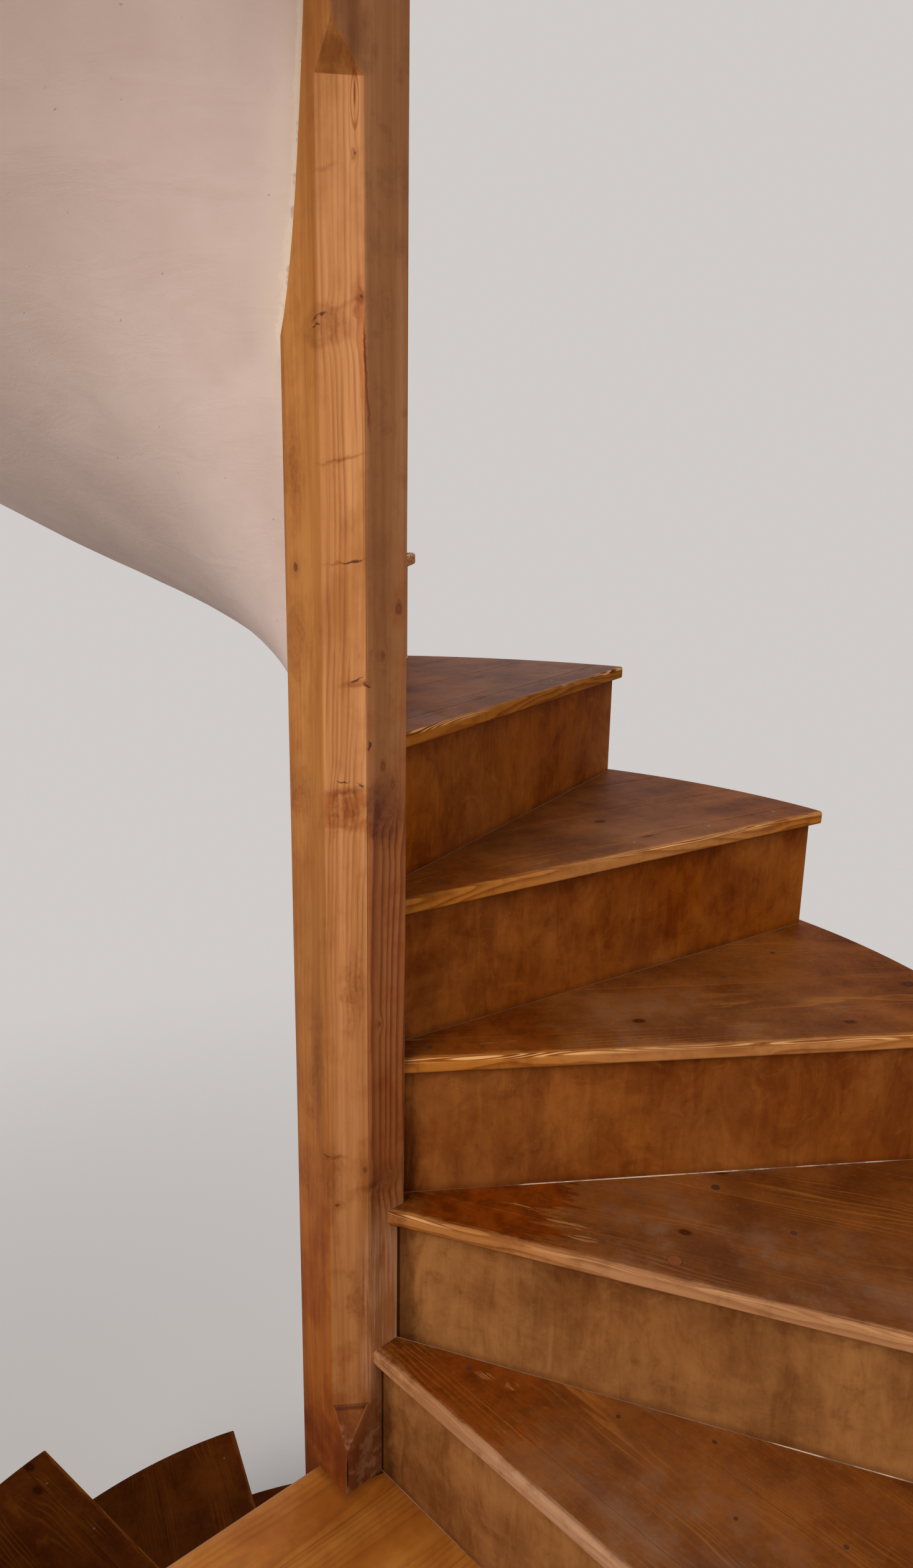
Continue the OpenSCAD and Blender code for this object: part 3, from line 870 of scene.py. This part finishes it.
def plank(bm, angle, rows, columns, start, end, top, depth, front, shift, eased, wear=None):
    """Adds a closed board that lies along the line at this angle. Its rows are at the given
    distances to the left of the line, and each runs from start(y) to end(y)."""
    new = board_mesh()
    vectors = new.verts.layers.float_vector
    place, grain = vectors["place"], vectors["grain"]
    across = len(rows) - 1
    bmesh.ops.create_grid(new, x_segments=columns, y_segments=across, size=0.5)
    for v in new.verts:
        y = rows[round((v.co.y + 0.5) * across)]
        v.co = Vector((mix(start(y), end(y), v.co.x + 0.5), y, top))
    made = bmesh.ops.extrude_face_region(new, geom=new.faces[:])
    lower = [v for v in made["geom"] if isinstance(v, bmesh.types.BMVert)]
    bmesh.ops.translate(new, verts=lower, vec=(0, 0, -depth))
    bmesh.ops.recalc_face_normals(new, faces=new.faces[:])
    for y, z, size, segments in eased:
        edges = [e for e in new.edges
                 if all(abs(v.co.y - y) < SAME and abs(v.co.z - z) < SAME for v in e.verts)]
        bmesh.ops.bevel(new, geom=edges, offset=size, offset_type="OFFSET", segments=segments,
                        profile=0.5, affect="EDGES", clamp_overlap=True, material=-1)
    if wear:
        wear(new)
    for v in new.verts:
        v[place] = Vector((v.co.x, v.co.y - front, v.co.z - top))
        v[grain] = v[place] + Vector(shift)
    bmesh.ops.rotate(new, verts=new.verts[:], cent=(0, 0, 0), matrix=Matrix.Rotation(angle, 3, "Z"))
    mesh = bpy.data.meshes.new("board")
    new.to_mesh(mesh)
    new.free()
    bm.from_mesh(mesh)
    bpy.data.meshes.remove(mesh)


def board_mesh():
    """An empty mesh that has the layers which the boards' materials read."""
    bm = bmesh.new()
    for key in ("place", "grain"):
        bm.verts.layers.float_vector.new(key)
    for key in ("wear", "patch"):
        bm.verts.layers.float.new(key)
    return bm


def keep(bm, name, material, nodes=(), crease=30):
    """Turns a mesh into a finished piece of the stair."""
    limit = math.radians(crease)
    for face in bm.faces:
        face.smooth = True
    for edge in bm.edges:
        edge.smooth = len(edge.link_faces) == 2 and edge.calc_face_angle(0) < limit
    mesh = bpy.data.meshes.new(name)
    bm.to_mesh(mesh)
    bm.free()
    piece = bpy.data.objects.new(name, mesh)
    bpy.context.scene.collection.objects.link(piece)
    mesh.materials.append(material)
    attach(piece, "root")
    if nodes:
        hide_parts(*nodes)


def spread(low, high, count):
    return [mix(low, high, i / count) for i in range(count + 1)]


# How worn each step's nosing is, and how much old varnish is left beside the newel
NOSING_WEAR = {-5: 0.7, -4: 0.6, -3: 0.5, -2: 0.6, -1: 0.8, 1: 1.0, 2: 0.82, 3: 0.7, 4: 0.68,
               5: 0.35}
OLD_VARNISH = {1: 0.55, 2: 1.0, 3: 0.55, -1: 0.6, -2: 0.4}
RISER_FADED = {1: 0.95, 2: 0.95, 3: 0.28, 4: 0.16, 5: 0.1, 6: 0.3, 0: 0.5, -1: 0.6, -2: 0.4}
# The filler at each riser's foot: where out from the newel it is clean, and how thick the bead is
# elsewhere and there
FILLER = {
    1: (0.1, 1.0, 0.2, 0.22), 2: (0.56, 1.0, 0.16, 0.5), 3: (0.232, 0.77, 0.0, 0.62),
    4: (0.5, 1.0, 0.02, 0.06), 5: (0.5, 1.0, 0.0, 0.04),
}
PLAIN_FILLER = (0.3, 1.0, 0.3, 0.7)
# A tread's single boards: the lipping's width, the seams behind it, and how far they stray
LIPPING, LIPPING_STRAY = 0.052, 0.004
SEAMS, SEAM_STRAY = (0.19, 0.33), 0.012
SEAM_GAP = 0.0003
BACK_GAP = 0.001
BOARD_EASE = 0.0007
NOSING_SEGMENTS = 4
# How far along and across a step's boards are taken from their plank, to bring a knot to where
# the photograph shows one
SHOWN_KNOTS = {
    (1, 1): (4.3, -0.055), (2, 0): (4.4, 0.01), (2, 1): (-0.128, -0.04),
    (2, 2): (0.395, -0.096), (3, 0): (0.596, -0.017), (3, 1): (0.894, -0.048),
}


# How deep feet have worn a nosing down and back, how much deeper its dents are, and how far in
WORN_DOWN, DENT_DOWN = 0.0014, 0.0003
WORN_BACK, DENT_BACK = 0.0004, 0.0003
WORN_REACH, WORN_SKIN, WORN_FRONT = 0.016, 0.008, 0.006


def nosing_wear(n, base):
    """Rounds the nosing's upper arris where feet fall and leaves small dents along it."""
    level = NOSING_WEAR.get(n, 0.5)

    def wear(bm):
        amounts = bm.verts.layers.float
        for v in bm.verts:
            x, y, z = v.co.x, v.co.y - NOSING_LINE, v.co.z - base
            trod = 0.35 + 0.65 * ease(0.15, 0.38, x) * (1 - ease(0.7, 0.9, x))
            near = math.exp(-(y / WORN_REACH) ** 2) if z > -WORN_SKIN else 0
            dent = 0.5 + 0.5 * waves(x * 26, n * 3.1)
            v.co.z -= level * trod * near * (WORN_DOWN + DENT_DOWN * dent)
            if y < WORN_FRONT:
                dent = 0.5 + 0.5 * waves(x * 9, z * 60, n)
                v.co.y += level * (WORN_BACK + DENT_BACK * dent)
            v[amounts["wear"]] = level * (0.75 + 0.25 * trod)
            v[amounts["patch"]] = OLD_VARNISH.get(n, 0.25)
    return wear


def nosing_rounds(line, base):
    """The two rounded edges of a nosing, for plank."""
    return [(line, z, NOSING_R, NOSING_SEGMENTS) for z in (base, base - BOARD_T)]


def tread(n, name, material):
    angle, base = step_angle(n), step_z(n)
    corner = TURN + math.asin(RISER_BACK / OUT_R)
    deep = OUT_R * math.sin(corner) - BACK_GAP
    start = last_of(back_line(TURN, RISER_BACK), clear_of_newel(angle))
    cuts = [NOSING_LINE, NOSING_LINE + LIPPING + LIPPING_STRAY * waves(n * 1.7)]
    cuts += [NOSING_LINE + seam + SEAM_STRAY * waves(n * 2.3, seam * 40) for seam in SEAMS]
    bm = board_mesh()
    for i, low in enumerate(cuts):
        last = i == len(cuts) - 1
        high = deep if last else cuts[i + 1] - SEAM_GAP
        along, across = SHOWN_KNOTS.get((n, i), (2.1 + 1.7 * waves(n * 5.3, i * 2.9),
                                                 0.09 * waves(i * 4.1, n * 3.7)))
        shift = (along, across, 0.02 * waves(n * 7.7, i * 1.3))
        eased = [(low, base, BOARD_EASE, 1)]
        if i == 0:
            eased = nosing_rounds(NOSING_LINE, base)
        if not last:
            eased.append((high, base, BOARD_EASE, 1))
        rows = spread(low, high, 6 if i else 7)
        plank(bm, angle, rows, TREAD_SPANS, start, arc_end(OUT_R), base, BOARD_T, NOSING_LINE,
              shift, eased, nosing_wear(n, base))
    keep(bm, name + "_boards", material, [name])


# A landing's floor boards: how many there are, the gaps between them, their easings, and the
# share of the stair's radius that they fill
FLOOR_BOARDS, FLOOR_GAP, FLOOR_EASE = 6, 0.0002, 0.0004
FLOOR_SHARE = 0.9985
# How close the nosing board's rows come to the newel's corner and to the floor boards
ROW_GAP = 0.0001


def landing(base, prefix, material):
    """The nosing board and the floor boards of a landing, which lie along its nosing."""
    start = last_of(back_line(LANDING_TURN, RISER_BACK), clear_of_newel(LAST_ANGLE),
                    lambda y: -math.sqrt(max(OUT_R * OUT_R - y * y, 0)))
    edge = LANDING_LINE + NOSING_BOARD_W
    lean = math.pi / 4 * 5 - LAST_ANGLE
    reach = NEWEL_SIDE / 2 * (abs(math.cos(lean)) + abs(math.sin(lean))) - BITE * 1.05
    rows = [LANDING_LINE + 0.0065 * i for i in range(4)]
    rows += [0.02, 0.03, reach - ROW_GAP, reach + ROW_GAP, 0.06, 0.07, edge - ROW_GAP]
    bm = board_mesh()
    plank(bm, LAST_ANGLE, rows, TREAD_SPANS, start, arc_end(OUT_R), base, BOARD_T, LANDING_LINE,
          (0.55 + base, 0.02, 0), nosing_rounds(LANDING_LINE, base))
    keep(bm, prefix + "landing_nosing_board", material, [prefix + "landing_nosing"])
    cuts = spread(edge, OUT_R * FLOOR_SHARE, FLOOR_BOARDS)
    bm = board_mesh()
    for i in range(FLOOR_BOARDS):
        low, high = cuts[i], cuts[i + 1] - FLOOR_GAP
        shift = (1.9 + 1.6 * waves(i * 3.3, base), 0.1 * waves(i * 2.1, base * 3) - low, 0.01 * i)
        plank(bm, LAST_ANGLE, spread(low, high, 4), FLOOR_SPANS, start, arc_end(OUT_R), base,
              BOARD_T, LANDING_LINE, shift, [(y, base, FLOOR_EASE, 1) for y in (low, high)])
    keep(bm, prefix + "landing_floor_boards", material, [prefix + "landing_floor"])


RISER_EASE = 0.0005


def riser(n, name, material):
    """A riser's sheet. Its wear says how faded it is and its patch where it meets the newel."""
    angle, foot = step_angle(n), step_z(n - 1)
    bm = board_mesh()
    depth = RISE - BOARD_T
    plank(bm, angle, [RISER_SET, RISER_BACK], RISER_SPANS, clear_of_newel(angle),
          arc_end(WELL_R), foot + depth, depth, RISER_SET, (n * 1.37, 0, n * 0.71 + depth),
          [(RISER_SET, z, RISER_EASE, 1) for z in (foot + depth, foot)])
    vectors, amounts = bm.verts.layers.float_vector, bm.verts.layers.float
    for v in bm.verts:
        for key in ("place", "grain"):
            v[vectors[key]] = v[vectors[key]] + Vector((0, 0, depth))
        v[amounts["wear"]] = RISER_FADED.get(n, 0.35)
        v[amounts["patch"]] = newel_exit(angle, RISER_SET, NEWEL_SIDE / 2)
    keep(bm, name + "_sheet", material, [name])


# The bead's width where the filler is thinnest, what a full bead adds, how hollow it is, and how
# far it runs into the corner
BEAD_THIN, BEAD_FULL = 0.0003, 0.0016
BEAD_HOLLOW = 0.32
BEAD_ROOT = 0.0004


def bead(n, name, material):
    """The thin bead of filler in the corner between a riser and the tread at its foot."""
    angle, foot = step_angle(n), step_z(n - 1)
    inner = newel_exit(angle, RISER_SET, NEWEL_SIDE / 2)
    outer = math.sqrt(WELL_R ** 2 - RISER_SET ** 2)
    begins, ends, elsewhere, there = FILLER.get(n, PLAIN_FILLER)
    bm = bmesh.new()
    clean = bm.verts.layers.float.new("clean")
    bmesh.ops.create_grid(bm, x_segments=BEAD_SPANS, y_segments=2, size=0.5)
    for v in bm.verts:
        x, side = mix(inner, outer, v.co.x + 0.5), round(v.co.y * 2 + 1)
        share = ease(begins - 0.01, begins + 0.01, x) * (1 - ease(ends - 0.04, ends + 0.04, x))
        amount = mix(elsewhere, there, share)
        uneven = 0.75 + 0.35 * waves(x * 9, n * 4.3) + 0.2 * waves(x * 50, n)
        width = BEAD_THIN + BEAD_FULL * amount * uneven
        off = (width, width * BEAD_HOLLOW, 0)[side]
        up = (0, width * BEAD_HOLLOW, width)[side]
        v.co = Vector((x, RISER_SET - off, foot + up))
        v[clean] = amount
    made = bmesh.ops.extrude_face_region(bm, geom=bm.faces[:])
    for v in [v for v in made["geom"] if isinstance(v, bmesh.types.BMVert)]:
        v.co.y = RISER_SET + BEAD_ROOT - (v.co.y < RISER_SET - TOUCH) * BEAD_ROOT / 2
        v.co.z = max(0, foot - BEAD_ROOT) + (v.co.z > foot + TOUCH) * BEAD_ROOT / 2
    bmesh.ops.recalc_face_normals(bm, faces=bm.faces[:])
    bmesh.ops.rotate(bm, verts=bm.verts[:], cent=(0, 0, 0), matrix=Matrix.Rotation(angle, 3, "Z"))
    keep(bm, name + "_bead", material, crease=60)


# The plaster under the flights: where it starts and ends, round the newel
FLIGHT_IN = FIRST_ANGLE - (JOIST_H - BATTEN_T) / CLIMB
FLIGHT_OUT = LAST_ANGLE + (RISE - JOIST_H + BATTEN_T) / CLIMB
FLOOR_IN = LAST_ANGLE - WINDERS_DOWN * TURN + (PLASTER_T + BOARD_T + BATTEN_T) / CLIMB

# Its mesh: degrees to a row, spans out from the newel, how close they crowd at the newel, and how
# far into it they run
SOFFIT_TURN, SOFFIT_SPANS, SOFFIT_CROWD = 1.5, 26, 1.8
SOFFIT_BITE = 0.0005
# How deep the trowel's broad and small unevenness is
TROWEL_BROAD, TROWEL_SMALL = 0.0022, 0.001


def flight_soffit(name, low, high, foot_angle, foot_z, material):
    """Plaster that is ruled straight out from the newel and climbs with the flight."""
    rows = round(math.degrees(high - low) / SOFFIT_TURN)
    outer = math.sqrt(WELL_R ** 2 - RISER_BACK ** 2)
    bm = bmesh.new()
    bmesh.ops.create_grid(bm, x_segments=rows, y_segments=SOFFIT_SPANS, size=0.5)
    for v in bm.verts:
        angle, share = mix(low, high, v.co.x + 0.5), (v.co.y + 0.5) ** SOFFIT_CROWD
        inner = newel_exit(angle, RISER_BACK, NEWEL_SIDE / 2 - SOFFIT_BITE)
        t = mix(inner, outer, share)
        along = Vector((math.cos(angle), math.sin(angle)))
        aside = Vector((-along.y, along.x))
        flat = along * t + aside * RISER_BACK
        z = foot_z + (angle - foot_angle) * CLIMB - BOARD_T - BATTEN_T
        fade = ease(0, 1, min(angle - low, high - angle) / PLASTER_FADE)
        thin = (PLASTER_T - PLASTER_NEWEL) * fade * (1 - ease(0, NEWEL_FEATHER, t - inner))
        thick = (PLASTER_T - thin) * (1 + fade * (math.sqrt(1 + (CLIMB / t) ** 2) - 1))
        hand = TROWEL_BROAD * waves(flat.x * 5, flat.y * 5, z * 3)
        hand += TROWEL_SMALL * waves(flat.x * 17, flat.y * 17, z * 11)
        v.co = Vector((flat.x, flat.y, max(0.0, z - thick + hand * fade)))
    made = bmesh.ops.extrude_face_region(bm, geom=bm.faces[:])
    for v in [v for v in made["geom"] if isinstance(v, bmesh.types.BMVert)]:
        angle = math.atan2(v.co.y, v.co.x) - math.asin(RISER_BACK / v.co.xy.length)
        guess = foot_angle + (v.co.z + PLASTER_T + BOARD_T + BATTEN_T - foot_z) / CLIMB
        angle += 2 * math.pi * round((guess - angle) / (2 * math.pi))
        v.co.z = foot_z + (angle - foot_angle) * CLIMB - BOARD_T - BATTEN_T
    bmesh.ops.recalc_face_normals(bm, faces=bm.faces[:])
    keep(bm, name + "_plaster", material, [name], crease=50)


# The newel: how far its front corner is cut back where it has no chamfer, how far every arris is
# rounded, how uneven its planed faces are, and its mesh's rows and points to a side
CORNER_EASE = 0.0012
NEWEL_EASE = 0.0009
PLANED = 0.00035
NEWEL_ROWS, SIDE_POINTS = 380, 5


def chamfer_depth(z):
    """How deep the chamfer on the newel's front corner is at this height."""
    depth = foot = 0
    for head in (LANDING_Z - CHAMFER_HEAD, TOP_Z - CHAMFER_HEAD, NEWEL_HIGH.z - CHAMFER_FOOT):
        base = foot + CHAMFER_FOOT
        if base <= z <= head:
            depth = CHAMFER_D
        elif base - FOOT_STOP < z < base:
            depth = (CHAMFER_D - STOP_LEDGE) * (z - base + FOOT_STOP) / FOOT_STOP
        elif head < z < head + HEAD_STOP:
            depth = CHAMFER_D * (head + HEAD_STOP - z) / HEAD_STOP
        foot = LANDING_Z if foot == 0 else TOP_Z
    return max(depth, CORNER_EASE)


# The row just under a chamfer's lower ledge, and the least distance between two rows
LEDGE_ROW, ROW_APART = 0.0002, 0.00015


def newel_heights():
    """Heights of the newel's rows: even steps, with extra rows at the chamfer's stops."""
    marks = set(spread(0, NEWEL_HIGH.z - CAP_BEVEL, NEWEL_ROWS))
    marks.add(NEWEL_HIGH.z)
    for foot, head in ((0, LANDING_Z - CHAMFER_HEAD), (LANDING_Z, TOP_Z - CHAMFER_HEAD),
                       (TOP_Z, NEWEL_HIGH.z - CHAMFER_FOOT)):
        base = foot + CHAMFER_FOOT
        marks.update([base - FOOT_STOP, base - LEDGE_ROW, base, head, head + HEAD_STOP])
    kept = []
    for z in sorted(marks):
        if not kept or z - kept[-1] > ROW_APART:
            kept.append(z)
    return kept


def newel_section(z):
    """The newel's outline at height z, as corners eased by a small arc and sides between them."""
    right, left = chamfer_depth(z) * CHAMFER_RIGHT, chamfer_depth(z) * CHAMFER_LEFT
    corners = [(right, right - CORNER_R), (CORNER_R, 0.0), (0.0, CORNER_R), (-CORNER_R, 0.0),
               (-left, left - CORNER_R)]
    points = []
    for i, corner in enumerate(corners):
        here, last = Vector(corner), Vector(corners[i - 1])
        after = Vector(corners[(i + 1) % len(corners)])
        small = min(NEWEL_EASE, (here - last).length * 0.3, (after - here).length * 0.3)
        into, out = (last - here).normalized() * small, (after - here).normalized() * small
        points += [here + into, here + (into + out) * 0.28, here + out]
        following = min(NEWEL_EASE, (after - here).length * 0.3)
        end = after + (here - after).normalized() * following
        shares = spread(0, 1, SIDE_POINTS + 1)[1:-1]
        points += [points[-1].lerp(end, share) for share in shares]
    return points


def newel(material):
    """The newel as a tube of outlines, closed along its back and at both ends."""
    heights = newel_heights()
    sections = [newel_section(z) for z in heights]
    ring, rows = len(sections[0]), len(heights) - 1
    bm = bmesh.new()
    bmesh.ops.create_grid(bm, x_segments=ring, y_segments=rows, size=0.5)
    for v in bm.verts:
        row = round((v.co.y + 0.5) * rows)
        point = sections[row][round((v.co.x + 0.5) * ring) % ring]
        z = heights[row]
        top = 1 - CAP_BEVEL / CORNER_R if z >= NEWEL_HIGH.z - TOUCH else 1
        planed = PLANED * (waves(point.x * 30, point.y * 30, z * 3.2) - 1)
        flat = point * top * (1 + planed / CORNER_R)
        v.co = Vector((flat.x, flat.y, z))
    bmesh.ops.remove_doubles(bm, verts=bm.verts[:], dist=TOUCH)
    rims = [e for e in bm.edges if e.is_boundary]
    bmesh.ops.holes_fill(bm, edges=rims, sides=0)
    bmesh.ops.recalc_face_normals(bm, faces=bm.faces[:])
    keep(bm, "newel_timber", material, ["newel_post"], crease=24)


# Nails and plugs, as distance out along the nosing, distance behind the nosing's edge and radius
NAILS = {
    1: [(0.158, 0.074, 0.0036), (0.341, 0.157, 0.003), (0.445, 0.213, 0.003),
        (0.518, 0.142, 0.0026), (0.62, 0.201, 0.003)],
    2: [(0.56, 0.143, 0.0044), (0.455, 0.206, 0.006), (0.76, 0.23, 0.0034)],
    3: [(0.582, 0.21, 0.0036), (0.697, 0.293, 0.0044), (0.106, 0.029, 0.0034)],
}
PLUGS = {2: [(0.423, 0.036, 0.0095)]}
# The nails of a step without a list. The marks' thickness, depth, hollow, rim as a share of the
# radius, and corners.
PLAIN_NAIL_R, PLAIN_NAILS = 0.0024, 5
MARK_T, MARK_SUNK, MARK_HOLLOW, MARK_RIM = 0.0008, 0.00018, 0.00012, 0.4
MARK_CORNERS = 14
# The shadow round a plug and the plug's top, as shares of its radius, and the plug's own
# thickness, depth and corners
PLUG_SHADOW, PLUG_TOP = 1.03, 0.95
PLUG_T, PLUG_SUNK, PLUG_CORNERS = 0.002, 0.0007, 24


def nail_marks(material):
    """The dark dimples that the nails' heads leave in the treads, and a painted shadow round each
    plug.
    """
    bm = bmesh.new()
    for n, _ in steps():
        places = NAILS.get(n)
        if places is None:
            places = [(0.16 + 0.17 * k + 0.02 * waves(n * 3.1, k),
                       0.04 + 0.012 * waves(k * 2.2, n), PLAIN_NAIL_R)
                      for k in range(PLAIN_NAILS)]
        for x, y, radius in places:
            round_mark(bm, n, x, y, radius)
    # Under each plug, a dark disc a little wider than it paints the shadow round it
    for n, places in PLUGS.items():
        for x, y, radius in places:
            round_mark(bm, n, x, y, radius * PLUG_SHADOW)
    keep(bm, "tread_nail_marks_and_plug_shadows", material, crease=40)


def on_step(n, x, y, above):
    """The place above a step, from the distances along and behind its nosing."""
    spot = Matrix.Rotation(step_angle(n), 3, "Z") @ Vector((x, y + NOSING_LINE, 0))
    return Vector((spot.x, spot.y, step_z(n) + above))


def round_mark(bm, n, x, y, radius):
    """Adds a thin closed disc that lies on a step and is a little hollow in its middle."""
    made = disc(bm, radius, radius, MARK_T, MARK_CORNERS, on_step(n, x, y, -MARK_SUNK))
    top = max((f for v in made for f in v.link_faces), key=lambda f: f.calc_center_median().z)
    bmesh.ops.inset_individual(bm, faces=[top], thickness=radius * MARK_RIM, depth=-MARK_HOLLOW)


def disc(bm, foot_r, top_r, thick, segments, spot):
    made = bmesh.ops.create_cone(bm, cap_ends=True, segments=segments, radius1=foot_r,
                                 radius2=top_r, depth=thick)["verts"]
    bmesh.ops.translate(bm, verts=made, vec=spot)
    return made


def plugs(material):
    """The round plugs that fill old holes in the treads."""
    bm = bmesh.new()
    for n, places in PLUGS.items():
        for x, y, radius in places:
            disc(bm, radius, radius * PLUG_TOP, PLUG_T, PLUG_CORNERS,
                 on_step(n, x, y, -PLUG_SUNK))
    keep(bm, "tread_plug", material, crease=40)


def build_stair():
    tread_wood = tread_pine("tread_pine", WORN_TONE)
    # The treads below the landing take a copy of the finish darkened as painted shade
    shaded_lower_wood = tread_pine("shaded_tread_pine", LOWER_SHADE_TONE)
    ply, sawn = riser_ply(), sawn_timber()
    floor_wood, white, fill = landing_pine(), plaster(), filler()
    newel(newel_pine())
    for n, name in steps():
        tread(n, name, tread_wood if n > 0 else shaded_lower_wood)
    for n, name in risers():
        riser(n, name, ply)
        bead(n, name, fill)
    landing(LANDING_Z, "", floor_wood)
    landing(TOP_Z, "top_", floor_wood)
    nail_marks(dark_hole())
    plugs(red_plug())
    flight_soffit("lower_soffit", FLOOR_IN, FLIGHT_OUT, LAST_ANGLE, LANDING_Z - RISE, white)
    flight_soffit("upper_soffit", FLIGHT_IN, FLIGHT_OUT + 2 * math.pi, FIRST_ANGLE, LANDING_Z,
                  white)
    dressed = {"landing_soffit": white, "top_landing_soffit": white, "landing_frame": sawn,
               "top_landing_frame": sawn, "lower_battens": sawn, "upper_battens": sawn}
    for name, material in dressed.items():
        slots = frame["nodes"][name].data.materials
        slots.clear()
        slots.append(material)


# The set: floor, backdrop, lights and camera. The floor fades into the backdrop between two
# distances from the newel.
BACKGROUND = (0.63, 0.6, 0.58, 1)
AMBIENT = 0.36
STAGE_R, STAGE_DOWN = 30, 0.0005
FADE_FROM, FADE_TO = 1.3, 4.6


def rays(paint, *kinds):
    """1 where a ray is of one of these kinds."""
    paths = [paint.node("ShaderNodeLightPath", out=f"Is {kind} Ray") for kind in kinds]
    return reduce(lambda seen, path: seen.math("MAXIMUM", path), paths)


def floor():
    paint = Paint("stage_floor")
    far = over(paint.length(paint.place()), FADE_FROM, FADE_TO)
    seen = rays(paint, "Camera", "Glossy") * far
    near = paint.node("ShaderNodeBsdfDiffuse", {}, {"Color": BACKGROUND})
    away = paint.node("ShaderNodeEmission", {}, {"Color": BACKGROUND})
    material = paint.finish(paint.node("ShaderNodeMixShader", {}, [seen, near, away]))
    bm = bmesh.new()
    bmesh.ops.create_circle(bm, cap_ends=True, segments=96, radius=STAGE_R)
    bmesh.ops.translate(bm, verts=bm.verts[:], vec=(0, 0, -STAGE_DOWN))
    mesh = bpy.data.meshes.new("stage_floor")
    bm.to_mesh(mesh)
    bm.free()
    plane = bpy.data.objects.new("stage_floor", mesh)
    bpy.context.scene.collection.objects.link(plane)
    mesh.materials.append(material)


def world():
    """An even soft light from all sides, behind which the backdrop shows in its own tone."""
    paint = Paint("studio", bpy.data.worlds)
    seen = rays(paint, "Camera", "Glossy", "Transmission")
    ambient = {"Color": (1, 1, 1, 1), "Strength": AMBIENT}
    shades = [paint.node("ShaderNodeBackground", {}, values)
              for values in (ambient, {"Color": BACKGROUND, "Strength": 1})]
    both = paint.node("ShaderNodeMixShader", {}, [seen, *shades])
    bpy.context.scene.world = paint.finish(both, "ShaderNodeOutputWorld")


def lamp(name, spot, target, size, power, colour):
    light = bpy.data.lights.new(name, "AREA")
    light.size = size
    light.energy = power
    light.color = colour
    made = bpy.data.objects.new(name, light)
    made.location = spot
    made.rotation_mode = "QUATERNION"
    made.rotation_quaternion = (Vector(target) - Vector(spot)).to_track_quat("-Z", "Y")
    bpy.context.scene.collection.objects.link(made)


# The camera that took the photograph, worked out from the stair's edges: the photograph's height
# and the focal length in pixels, the film's height, and the camera's turns and place
PHOTO_H, FOCAL_PX = 2520, 1694.2
FILM_H = 36
PITCH, YAW, ROLL = math.radians(13.97), math.radians(-2.33), math.radians(0.97)
CAMERA_SPOT = (0.1807, -1.2243, LANDING_Z + 1.291)


def camera():
    data = bpy.data.cameras.new("photo_camera")
    data.sensor_fit = "AUTO"
    data.sensor_width = FILM_H
    data.lens = FILM_H * FOCAL_PX / PHOTO_H
    data.clip_start, data.clip_end = 0.05, 100
    made = bpy.data.objects.new("photo_camera", data)
    ahead = Vector((math.sin(YAW) * math.cos(PITCH), math.cos(YAW) * math.cos(PITCH),
                    -math.sin(PITCH)))
    right = Vector((math.cos(YAW), -math.sin(YAW), 0))
    up = right.cross(ahead)
    aside = right * math.cos(ROLL) + up * math.sin(ROLL)
    above = up * math.cos(ROLL) - right * math.sin(ROLL)
    turn = Matrix((aside, above, -ahead)).transposed().to_4x4()
    made.matrix_world = Matrix.Translation(CAMERA_SPOT) @ turn
    bpy.context.scene.collection.objects.link(made)
    bpy.context.scene.camera = made


def studio():
    floor()
    world()
    lamp("key", (-2.3, -3.4, 4.3), (0, 0, 2.3), 2.4, 165, (1.0, 0.95, 0.88))
    lamp("fill", (3.2, -2.4, 3.2), (0, 0, 1.8), 2.6, 60, (1.0, 0.94, 0.88))
    lamp("back", (1.0, 4.2, 4.2), (0, 0, 2.2), 3.0, 90, (0.92, 0.95, 1.0))
    bpy.context.scene.view_settings.view_transform = "Standard"


camera()
build_stair()
studio()
